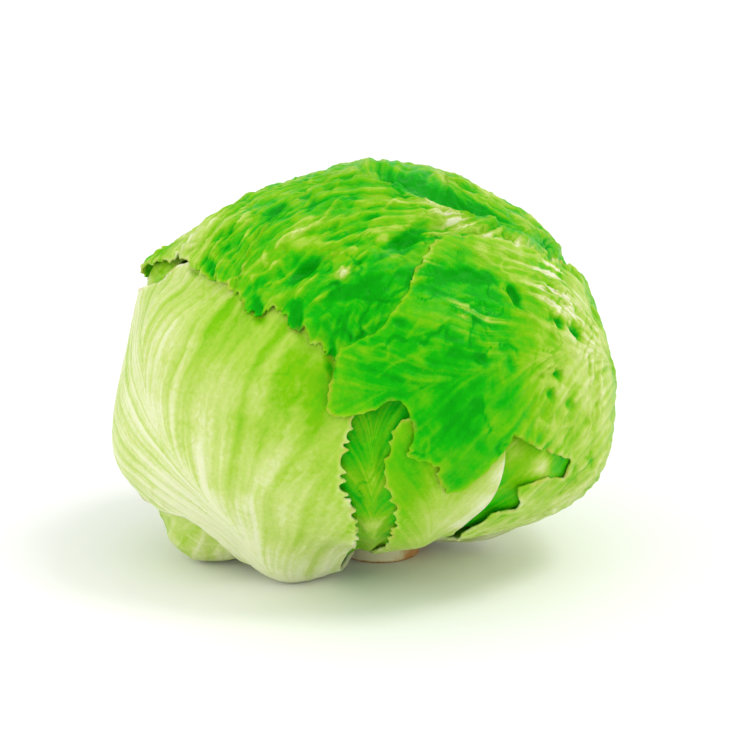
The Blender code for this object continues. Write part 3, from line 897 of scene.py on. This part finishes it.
def grow_veins(leaf, ribs, draw):
    """Finer veins that grow from the ribs towards scattered points until each is reached."""
    loop = leaf["loop_mm"]
    low, high = loop.min(0), loop.max(0)
    grid = np.stack(np.meshgrid(*[np.arange(a, b, SOURCE_SPACING) for a, b in zip(low, high)]), -1)
    scatter = draw.uniform(-SOURCE_JITTER, SOURCE_JITTER, (grid.size // 2, 2)) * SOURCE_SPACING
    sources = grid.reshape(-1, 2) + scatter
    sources = sources[margin_distance(loop, sources) < -SOURCE_MARGIN]
    nodes = np.vstack(ribs)
    heading = unit(np.vstack([np.gradient(rib, axis=0) for rib in ribs]))
    parent = list(range(len(nodes)))
    gap = np.full(len(sources), np.inf)
    owner = np.zeros(len(sources), int)

    def update(first):
        for begin in range(first, len(nodes), NODES_AT_ONCE):
            part = nodes[begin:begin + NODES_AT_ONCE]
            far = np.linalg.norm(sources[:, None] - part[None], axis=2)
            best = far.argmin(1)
            dist = far[np.arange(len(sources)), best]
            nearer = dist < gap
            gap[nearer] = dist[nearer]
            owner[nearer] = best[nearer] + begin

    update(0)
    for _ in range(VEIN_ROUNDS):
        alive = gap > SOURCE_REACHED
        sources, gap, owner = sources[alive], gap[alive], owner[alive]
        if not len(sources):
            break
        pull = np.zeros_like(nodes)
        np.add.at(pull, owner, (sources - nodes[owner]) / gap[:, None])
        busy = np.unique(owner)
        step = unit(unit(pull[busy]) + VEIN_INERTIA * heading[busy])
        fresh = nodes[busy] + VEIN_STEP * step
        near = np.array([np.linalg.norm(nodes - p, axis=1).min() for p in fresh])
        good = near > VEIN_CLEARANCE * VEIN_STEP
        if not good.any():
            break
        first = len(nodes)
        nodes = np.vstack([nodes, fresh[good]])
        heading = np.vstack([heading, step[good]])
        parent += list(busy[good])
        update(first)
    return nodes, np.array(parent)


class VeinMap:
    """Ridge height, paleness and distance of the nearest vein, drawn on a fine chart grid."""

    def __init__(self, leaf, order):
        draw = np.random.RandomState(VEIN_SEED + order)
        self.midrib = Midrib(leaf)
        ribs = side_ribs(leaf, self.midrib, draw)
        spine = self.midrib.point(np.arange(0, self.midrib.length, RIB_STEP))
        nodes, parent = grow_veins(leaf, [spine] + ribs, draw)
        loop = leaf["loop_mm"]
        self.low = loop.min(0) - MAP_BORDER
        shape = np.ceil((loop.max(0) + MAP_BORDER - self.low) / RASTER).astype(int) + 1
        self.height = np.zeros(shape)
        self.pale = np.zeros(shape)
        self.gap = np.full(shape, WIDEST_GAP)
        for rib in ribs:
            part = np.linspace(0, 1, len(rib))
            size = draw.uniform(*RIB_SIZES)
            self.draw_line(rib, between(RIB_RISE, size) * between(RIB_RISE_TAPER, part),
                           between(RIB_WIDTH, part),
                           between(RIB_PALE, size) * between(RIB_PALE_TAPER, part))
        weight = np.ones(len(nodes))
        for k in range(len(nodes) - 1, -1, -1):
            if parent[k] != k:
                weight[parent[k]] += weight[k]
        for k in np.flatnonzero(parent != np.arange(len(nodes))):
            size = min(weight[k] / MANY_VEINS, 1.0) ** 0.5
            self.draw_line(nodes[[parent[k], k]], *(np.full(2, between(ends, size))
                                                    for ends in (VEIN_RISE, VEIN_WIDTH, VEIN_PALE)))

    def draw_line(self, path, rise, width, pale):
        length = arc_length(path)
        at = np.arange(0, length[-1] + MAP_SLACK, MAP_STEP)
        for x, y, h, w, p in along_path(np.column_stack([path, rise, width, pale]), length, at):
            i, j = int((x - self.low[0]) / RASTER), int((y - self.low[1]) / RASTER)
            window = tuple(slice(max(k - MAP_REACH, 0), k + MAP_REACH + 1) for k in (i, j))
            rows, cols = (np.arange(part.start, min(part.stop, size))
                          for part, size in zip(window, self.height.shape))
            dx = rows * RASTER + self.low[0] - x
            dy = cols * RASTER + self.low[1] - y
            near2 = dx[:, None] ** 2 + dy[None, :] ** 2
            shape = np.exp(-near2 / w**2)
            self.height[window] = np.maximum(self.height[window], h * shape)
            self.pale[window] = np.maximum(self.pale[window], p * shape**1.5)
            self.gap[window] = np.minimum(self.gap[window], np.sqrt(near2))

    def sample(self, layer, flat):
        x, y = ((flat - self.low) / RASTER).T
        i = np.clip(np.floor(x).astype(int), 0, layer.shape[0] - 2)
        j = np.clip(np.floor(y).astype(int), 0, layer.shape[1] - 2)
        a, b = np.clip(x - i, 0, 1), np.clip(y - j, 0, 1)
        return ((layer[i, j] * (1 - a) + layer[i + 1, j] * a) * (1 - b)
                + (layer[i, j + 1] * (1 - a) + layer[i + 1, j + 1] * a) * b)


def place(d, radius):
    return np.array(HEAD_CENTRE) + d * radius[..., None]


def leaf_sheet(leaf, seed):
    """Points in mm in the chart with their faces and their distance in from the margin."""
    rim = toothed_loop(leaf, seed)
    loop = leaf["loop_mm"]
    low, high = loop.min(0) - SHEET_BORDER, loop.max(0) + SHEET_BORDER
    cell = leaf["cell"]
    axes = [np.arange(a, b, cell) for a, b in zip(low, high)]
    grid = np.stack(np.meshgrid(*axes, indexing="ij"), -1)
    flat = grid.reshape(-1, 2)
    field = margin_distance(loop, flat)
    near = np.abs(field) < TOOTHED_BAND
    field[near] = margin_distance(rim, flat[near])
    foot = place(from_chart(leaf["centre"], flat * MM / DEGREE), np.array(FOOT_RADIUS))
    stem = STEM_RADIUS + FIT_GAP - np.hypot(foot[:, 0], foot[:, 1])
    field = np.maximum(field, np.where(foot[:, 2] < HEAD_CENTRE[2], stem / MM, -DEEPEST))
    if "tear" in leaf:
        field = np.maximum(field, -margin_distance(torn_loop(leaf), flat))
    field = field.reshape(grid.shape[:2])
    points, faces = clipped_grid(field, low, cell)
    i, j = np.clip(((points - low) / cell).round().astype(int), 0, np.array(field.shape) - 1).T
    return points, faces, np.maximum(-field[i, j], 0)


def torn_loop(leaf):
    """The tear's ragged outline in mm in the chart."""
    corners = chart_points(leaf, leaf["tear"]) * DEGREE / MM
    closed = np.vstack([corners, corners[:1]])
    length = arc_length(closed)
    line = along_path(closed, length, np.arange(0, length[-1], TEAR_STEP))
    draw = np.random.RandomState(TEAR_SEED)
    ragged = draw.uniform(-1, 1, len(line) + TEAR_SMOOTHING - 1)
    rough = np.convolve(ragged, np.ones(TEAR_SMOOTHING) / TEAR_SMOOTHING, "valid")
    ahead = np.roll(line, -1, axis=0) - np.roll(line, 1, axis=0)
    return line + left_of(ahead) * TEAR_DEPTH * rough[:, None]


def crease_rise(leaf, d, spots):
    """Height in mm of the leaf's creases, sharp crests between faint troughs."""
    total = np.zeros(len(d))
    draw = np.random.RandomState(CREASE_SEED)
    wander = CREASE_WANDER * noise_at(spots, *CREASE_WANDER_NOISE)
    for course in CREASES.get(leaf["name"], []):
        rise = draw.uniform(*CREASE_RISES)
        line = open_curve(direction(*np.array(course, float).T), CREASE_STEPS)
        near = (d @ line[len(line) // 2]) > CREASE_NEAR
        spot = d[near]
        nearest = np.full(len(spot), np.inf)
        along = np.zeros(len(spot))
        for k, (a, b) in enumerate(zip(line[:-1], line[1:])):
            part, gap = beside_edge(spot, a, b)
            gap = np.linalg.norm(gap, axis=1)
            along = np.where(gap < nearest, (k + part) / (len(line) - 1), along)
            nearest = np.minimum(nearest, gap)
        swell = np.sin(math.pi * along)
        away = nearest * math.degrees(DEGREE / MM) + wander[near] * swell
        crest = np.exp(-np.abs(away / CREASE_WIDTH) ** CREASE_SHARPNESS)
        trough = CREASE_TROUGH * np.exp(-(away / CREASE_TROUGH_WIDTH) ** 2)
        total[near] += rise * (crest - trough) * np.clip(CREASE_ENDS * swell, 0, 1)
    return total


def leaf_tone(leaf, d, along, across):
    """0 cream to 1 deep green over the leaf, before the veins."""
    tone = between(leaf["tones"], smoothstep(*TONE_THETAS, theta_of(d)))
    spine = np.exp(-((across / SPINE_PALE_WIDTH) ** 2)) * smoothstep(*SPINE_PALE_FADE, along)
    return add_spots(tone - SPINE_PALE * spine, d, leaf["patches"])


def build_leaf(order):
    leaf = LEAVES[order]
    flat, faces, inset = leaf_sheet(leaf, SHEET_SEED + order)
    d = from_chart(leaf["centre"], flat * MM / DEGREE)
    radius, bare, open_part = layers(order, d)
    spots = place(d, radius)
    noise = {key: amount * noise_at(spots, size, seed + order, octaves)
             for key, (amount, size, seed, octaves) in NOISES.items()}
    veins = VeinMap(leaf, order)
    across, along = veins.midrib.locate(flat)
    ridge, pale, gap = (veins.sample(layer, flat) for layer in (veins.height, veins.pale, veins.gap))
    thick, length, least = SPINE_TAPER
    taper = np.clip(thick - along / length, least, 1)
    spine = np.exp(-((across / (leaf["rib_width"] * taper)) ** 2)) * taper
    flow = along - rib_lead(leaf, across)
    flow = flow + leaf["bend"] * (noise["sweep"] + noise["shake"])

    theta = theta_of(d)
    top_fade = 1 - TOP_CALM * smoothstep(*TOP_THETAS, theta)
    crinkle = leaf["crinkle"] * smoothstep(*CRINKLE_THETAS, theta) * top_fade
    blister = BLISTER * smoothstep(*BLISTER_GAPS, gap) * (BLISTER_MEAN + noise["blister"])
    bumps = noise["bump"] + noise["small_bump"]
    folds = np.stack([flow / FOLD_WIDTH, np.abs(across) / FOLD_LENGTH,
                      np.full(len(d), order * FOLD_SHIFT)], -1)
    fold = FOLD_CREST - FOLD_DEPTH * np.abs(lattice_noise(folds, FOLD_SEED + order))
    furrows = leaf["furrow"] * crinkle * fold
    waves = FRILL_MEAN + np.sin(noise["wave"] + noise["small_wave"])
    frill = leaf["wave"] * np.exp(-inset / FRILL_WIDTH) * FRILL * waves
    crest = crease_rise(leaf, d, spots)
    creased = noise_lines(noise["crest"], CREST_LINE)
    creased = creased * smoothstep(*CREST_PLACE, noise["crest_place"])
    grooved = noise_lines(noise["groove"], GROOVE_LINE)
    grooved = grooved * smoothstep(*GROOVE_PLACE, noise["groove_place"])
    rough = crinkle * (bumps - blister + creased - GROOVE * grooved - SUNK)
    veined = ridge * (VEIN_RELIEF + leaf["crinkle"])
    relief = leaf["rib_rise"] * spine + veined + crest + rough + furrows + frill
    lift = add_spots(np.zeros(len(d)), d, leaf.get("lift", []))
    verts = place(d, radius + bare * courses(d, RIDGES) + (open_part * relief + lift) * MM)
    verts[:, 2] = np.maximum(verts[:, 2], FLOOR_GAP)

    # Painted shade: the tone is made deeper green in dents, hollows, the low sides of bumps, fold
    # furrows and grooves
    pits = (dents(d, DENTS) + LOOSE_PIT_SHARE * dents(d, loose_dents())) / PIT_DEPTH
    marked = np.minimum(2 * crinkle, 1)
    painted_recess_shade = (np.clip(pits, *PIT_RANGE) + courses(d, HOLLOWS) / HOLLOW_DEPTH
            + BUMP_SHADE * np.clip(-bumps * crinkle, *BUMP_RANGE) - FOLD_SHADE * furrows
            + GROOVE * grooved * marked)
    # Paleness: the veins' and midrib's own paler colour, with a painted highlight along crease crests
    # and crest lines
    pale = np.maximum.reduce([
        pale, PALE_SPINE * spine, PAINTED_CREASE_HIGHLIGHT * np.clip(crest, 0, 1), PAINTED_CREST_HIGHLIGHT * creased * marked,
    ])
    # The shine spots are glossier and also get a painted sheen, a paler tone
    values = dict(
        tone=leaf_tone(leaf, d, along, across), painted_recess_shade=painted_recess_shade * open_part, pale=pale, inset=inset,
        wet_gloss_and_painted_sheen=add_spots(np.zeros(len(d)), d, leaf.get("shine", [])),
    )
    mesh = bpy.data.meshes.new(leaf["name"] + "_blade")
    mesh.from_pydata(verts.tolist(), [], facing_out(verts, faces))
    for key, column in values.items():
        mesh.attributes.new(key, "FLOAT", "POINT").data.foreach_set("value", column)
    flow_layer = mesh.attributes.new("flow", "FLOAT_VECTOR", "POINT")
    flow_layer.data.foreach_set("vector", np.stack([flow, np.abs(across), across], -1).ravel())
    piece = add_piece(mesh, leaf_material(leaf))
    thicken(piece, blade_thickness(d) - SHOWN_LESS)
    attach(piece, "root")
    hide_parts(leaf["name"])


def facing_out(verts, faces):
    """The faces, turned over where they look towards the head's centre."""
    first = np.array([face[:3] for face in faces[:FACES_TRIED]])
    a, b, c = (verts[first[:, k]] for k in range(3))
    outward = np.einsum("ij,ij->i", np.cross(b - a, c - a), a - np.array(HEAD_CENTRE)).mean()
    return faces if outward > 0 else [face[::-1] for face in faces]


def thicken(piece, thickness):
    """Give a sheet its thickness at each vertex, on its inner side."""
    solid = piece.modifiers.new("blade", "SOLIDIFY")
    solid.thickness = BLADE + BASE_EXTRA - SHOWN_LESS
    solid.offset = -1
    group = piece.vertex_groups.new(name="thickness")
    for index, weight in enumerate(thickness / solid.thickness):
        group.add([index], weight, "REPLACE")
    solid.vertex_group = group.name


def add_object(name, data):
    made = bpy.data.objects.new(name, data)
    bpy.context.scene.collection.objects.link(made)
    return made


def add_piece(mesh, material):
    """A smooth object that shows the mesh under the mesh's own name."""
    mesh.shade_smooth()
    mesh.materials.append(material)
    return add_object(mesh.name, mesh)


class Shade:
    """A material's node tree, with short calls for the nodes used here."""

    def __init__(self, name):
        self.material = bpy.data.materials.new(name)
        self.material.use_nodes = True
        self.tree = self.material.node_tree
        self.places = self.node("ShaderNodeTexCoord").outputs["Object"]

    def node(self, kind, inputs=(), **settings):
        made = self.tree.nodes.new(kind)
        for key, value in settings.items():
            setattr(made, key, value)
        for key, value in dict(inputs).items():
            self.put(value, made.inputs[key])
        return made

    def put(self, value, socket):
        if isinstance(value, bpy.types.NodeSocket):
            self.tree.links.new(value, socket)
        else:
            socket.default_value = value

    def finished(self, inputs):
        """The material, once these inputs of its surface are set or linked."""
        for key, value in inputs.items():
            self.put(value, self.tree.nodes["Principled BSDF"].inputs[key])
        return self.material

    def maths(self, operation, a, b=0.0):
        return self.node("ShaderNodeMath", {0: a, 1: b}, operation=operation).outputs[0]

    def add(self, *terms):
        total = terms[0]
        for term in terms[1:]:
            total = self.maths("ADD", total, term)
        return total

    def scaled(self, value, factor):
        return self.maths("MULTIPLY", value, factor)

    def weighed(self, *pairs):
        """The sum of values, each with its weight."""
        return self.add(*(self.scaled(value, weight) for value, weight in pairs))

    def attribute(self, name, output="Fac"):
        return self.node("ShaderNodeAttribute", attribute_name=name).outputs[output]

    def noise(self, vector, scale, detail):
        made = self.node("ShaderNodeTexNoise", {"Vector": vector, "Scale": scale, "Detail": detail})
        return self.maths("SUBTRACT", made.outputs["Fac"], 0.5)

    def stretched_noise(self, vector, scales, detail):
        mapping = self.node("ShaderNodeMapping", {"Vector": vector, "Scale": scales})
        return self.noise(mapping.outputs[0], 1.0, detail)

    def mix(self, factor, a, b):
        made = self.node("ShaderNodeMix", data_type="RGBA")
        self.put(factor, made.inputs["Factor"])
        for value, socket in ((a, made.inputs[6]), (b, made.inputs[7])):
            self.put(value if isinstance(value, bpy.types.NodeSocket) else (*value, 1), socket)
        return made.outputs[2]

    def ramp(self, value, stops):
        made = self.node("ShaderNodeValToRGB", {"Fac": value})
        elements = made.color_ramp.elements
        while len(elements) < len(stops):
            elements.new(0.5)
        for element, (position, colour) in zip(elements, stops):
            element.position = position
            element.color = (*colour, 1)
        return made.outputs["Color"]

    def fade(self, value, start, end):
        """Grey that runs between two (position, brightness) ends of the value."""
        return self.ramp(value, [(at, (grey, grey, grey)) for at, grey in (start, end)])

    def bump(self, height, strength, distance):
        inputs = {"Height": height, "Strength": strength, "Distance": distance}
        return self.node("ShaderNodeBump", inputs).outputs["Normal"]


def leaf_material(leaf):
    shade = Shade(leaf["name"])
    flow = shade.attribute("flow", "Vector")
    width, strength = leaf["streak"]
    streaks = shade.stretched_noise(flow, (width, width / STREAK_LENGTH, 0.0), 4.0)
    blotches = shade.noise(shade.places, BLOTCH_SCALE, 5.0)
    clouds = shade.noise(shade.places, CLOUD_SCALE, 2.0)
    grain = shade.noise(shade.places, GRAIN_SCALE, 2.0)
    cells = shade.node("ShaderNodeTexVoronoi", {"Vector": shade.places, "Scale": NET_SCALE},
                       feature="DISTANCE_TO_EDGE").outputs["Distance"]
    net = shade.fade(cells, (0.0, 1), (0.10, 0))
    # A band along the cut margin: its tone is made paler as a painted highlight on the rim, and
    # patches of it are really browned
    margin = shade.fade(shade.scaled(shade.attribute("inset"), 1 / MARGIN_WIDTH), (0.0, 1), (0.30, 0))
    # Painted sheen: streaky glints on the shine spots make the tone paler; they also raise the
    # specular level
    glints = shade.fade(shade.stretched_noise(flow, GLINT_SCALES, 5.0), (0.0, 0), (0.12, 1))
    wet_gloss_and_painted_sheen = shade.scaled(shade.attribute("wet_gloss_and_painted_sheen"), glints)
    # The tone takes painted shade in the leaf's recesses, a painted sheen on the shine spots and a
    # painted highlight along the margins, besides the leaf's own streaks, mottling and veins
    tone = shade.add(shade.attribute("tone"), shade.weighed(
        (shade.attribute("painted_recess_shade"), 0.38), (streaks, strength), (blotches, leaf["mottle"]),
        (clouds, 0.20), (grain, 0.14), (shade.attribute("pale"), -leaf["veining"]),
        (net, -0.02), (wet_gloss_and_painted_sheen, -0.75), (margin, -0.16)))
    patchy = shade.fade(shade.noise(shade.places, RUST_SCALE, 2.0), (0.04, 0), (0.16, 0.45))
    rust = shade.scaled(margin, patchy)
    wrinkles = shade.stretched_noise(flow, WRINKLE_SCALES, 3.0)
    height = shade.weighed((net, 0.15), (grain, 0.4), (streaks, 0.6), (wrinkles, leaf["crinkle"]))
    return shade.finished({
        "Base Color": shade.mix(rust, shade.ramp(tone, LEAF_TONES), BROWNING),
        "Normal": shade.bump(height, 0.7, LEAF_BUMP),
        "Roughness": 0.34,
        "Specular IOR Level": shade.add(leaf["gloss"], shade.scaled(wet_gloss_and_painted_sheen, 0.5)),
        "Subsurface Weight": 0.25,
        "Subsurface Radius": (0.5, 1.0, 0.2),
        "Subsurface Scale": LEAF_GLOW_DEPTH,
    })


def build_heart():
    ball = bmesh.new()
    bmesh.ops.create_icosphere(ball, subdivisions=HEART_SUBDIVISIONS, radius=1.0)
    d = unit(np.array([v.co[:] for v in ball.verts]))
    radius, _, _ = layers(-1, d)
    for vert, spot in zip(ball.verts, place(d, radius - HEART_GAP)):
        vert.co = Vector(spot)
    mesh = bpy.data.meshes.new("heart_inner")
    ball.to_mesh(mesh)
    ball.free()
    heart = add_piece(mesh, heart_material())
    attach(heart, "root")
    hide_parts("heart")


def heart_material():
    shade = Shade("heart")
    fibres = shade.stretched_noise(shade.places, HEART_FIBRE_SCALES, 3.0)
    return shade.finished({
        "Base Color": shade.ramp(shade.add(HEART_TONE, fibres), LEAF_TONES),
        "Roughness": 0.5,
        "Specular IOR Level": 0.1,
    })


def stem_profile():
    """Radius and height down the stem from its core's tip, and in along its cut face."""
    core = [(0.0, CORE_TOP_Z), (CORE_TIP_RADIUS, CORE_TOP_Z), (CORE_TOP_RADIUS, CORE_LOW_Z)]
    wall = [(STEM_RADIUS, z) for z in np.arange(STEM_WALL_TOP, STEM_ROUND, -STEM_WALL_STEP)]
    corner = [(STEM_RADIUS - STEM_ROUND * (1 - math.cos(a)), STEM_ROUND * (1 - math.sin(a)))
              for a in np.linspace(0, math.pi / 2, STEM_CORNER_POINTS)]
    face = [(r * MM, 0.0) for r in np.arange(*STEM_FACE_MM)]
    return core + wall + corner + face


def build_stem():
    """The cut stem: an uneven round wall, and a face with a browned rim and rings."""
    shape = bmesh.new()
    turns = np.linspace(0, 2 * math.pi, STEM_TURNS, endpoint=False)
    rings = []
    for radius, z in stem_profile():
        spots = np.stack([radius * np.cos(turns), radius * np.sin(turns), np.full(STEM_TURNS, z)], -1)
        uneven = 1 - STEM_UNEVEN * np.abs(noise_at(spots * STEM_WALL_STRETCH, *STEM_WALL_NOISE))
        spots[:, :2] *= uneven[:, None]
        spots[:, 2] += STEM_FACE_DENT * np.abs(noise_at(spots, *STEM_FACE_NOISE)) * (z == 0)
        rings.append([shape.verts.new(spot) for spot in spots])
    for upper, lower in zip(rings, rings[1:]):
        for k in range(STEM_TURNS):
            n = (k + 1) % STEM_TURNS
            shape.faces.new((upper[k], lower[k], lower[n], upper[n]))
    shape.faces.new(rings[-1][::-1])
    bmesh.ops.remove_doubles(shape, verts=shape.verts[:], dist=0.01 * MM)
    bmesh.ops.recalc_face_normals(shape, faces=shape.faces[:])
    mesh = bpy.data.meshes.new("stem_cut_end")
    shape.to_mesh(mesh)
    shape.free()
    stem = add_piece(mesh, stem_material())
    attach(stem, "root")
    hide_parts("stem")


def stem_material():
    """Pale fibres, browned low down and on the right, with faint rings."""
    shade = Shade("stem")
    split = shade.node("ShaderNodeSeparateXYZ", {0: shade.places}).outputs
    fibres = shade.stretched_noise(shade.places, STEM_FIBRE_SCALES, 3.0)
    blotches = shade.noise(shade.places, STEM_BLOTCH_SCALE, 3.0)
    height = shade.scaled(split["Z"], STEM_BROWN / STEM_BROWN_HEIGHT)
    low = shade.maths("SUBTRACT", STEM_BROWN, height)
    side = shade.weighed((split["X"], STEM_STAIN_SLOPE), (blotches, STEM_STAIN_BLOTCH))
    stain = shade.maths("MINIMUM", shade.add(side, -STEM_STAIN_START), STEM_STAIN_MOST)
    squares = shade.add(*(shade.maths("POWER", split[axis], 2.0) for axis in "XY"))
    rings = shade.maths("SINE", shade.scaled(shade.maths("SQRT", squares), STEM_RING_TURNS))
    brown = shade.maths("MAXIMUM", shade.maths("MAXIMUM", low, stain), 0.0)
    tone = shade.add(brown, shade.weighed((fibres, 0.5), (rings, 0.06)))
    return shade.finished({
        "Base Color": shade.ramp(tone, STEM_TONES),
        "Normal": shade.bump(fibres, 0.4, STEM_BUMP),
        "Roughness": 0.6,
        "Specular IOR Level": 0.15,
    })


def add_floor():
    bpy.ops.mesh.primitive_plane_add(size=FLOOR_SIZE, location=(0, 0, 0))
    floor = bpy.context.object
    floor.name = "floor"
    floor.data.materials.append(
        Shade("floor").finished({"Base Color": FLOOR_COLOUR, "Roughness": 0.9}))


def aimed(heading):
    """The turn that makes a lamp shine against the heading."""
    return heading.to_track_quat("Z", "Y").to_euler()


def add_lights():
    world = bpy.data.worlds.new("studio")
    world.use_nodes = True
    sky = world.node_tree.nodes["Background"].inputs
    sky["Color"].default_value = (1, 1, 1, 1)
    sky["Strength"].default_value = SKY_STRENGTH
    bpy.context.scene.world = world
    sun = bpy.data.lights.new("key", "SUN")
    sun.energy = SUN_STRENGTH
    sun.angle = math.radians(SUN_SOFTNESS)
    add_object("key", sun).rotation_euler = aimed(Vector(SUN_HEADING))
    lamp = bpy.data.lights.new("fill", "AREA")
    lamp.size = FILL_SIZE
    lamp.energy = FILL_WATTS
    fill = add_object("fill", lamp)
    fill.location = FILL_PLACE
    fill.rotation_euler = aimed(fill.location - Vector(HEAD_CENTRE))
    bpy.context.scene.view_settings.view_transform = "Standard"


def add_camera():
    tilt = math.radians(VIEW_TILT)
    data = bpy.data.cameras.new("view")
    data.sensor_fit = "HORIZONTAL"
    data.angle = 2 * math.atan(FRAME_PIXELS * PIXEL_SIZE / 2 / VIEW_DISTANCE)
    rise = HEAD_CENTRE[2] * math.cos(tilt) / PIXEL_SIZE
    half = FRAME_PIXELS / 2
    data.shift_x = (half - STEM_PIXEL[0]) / FRAME_PIXELS
    data.shift_y = (STEM_PIXEL[1] - rise - half) / FRAME_PIXELS
    camera = add_object("view", data)
    back = Vector((0, -math.cos(tilt), math.sin(tilt)))
    camera.location = Vector(HEAD_CENTRE) + back * VIEW_DISTANCE
    camera.rotation_euler = (math.pi / 2 - tilt, 0, 0)
    bpy.context.scene.camera = camera


add_camera()
for leaf in LEAVES:
    leaf["loop"] = leaf_loop(leaf)
    leaf["loop_mm"] = leaf["loop"][:, :2] * DEGREE / MM
for order in range(len(LEAVES)):
    build_leaf(order)
build_heart()
build_stem()
add_floor()
add_lights()
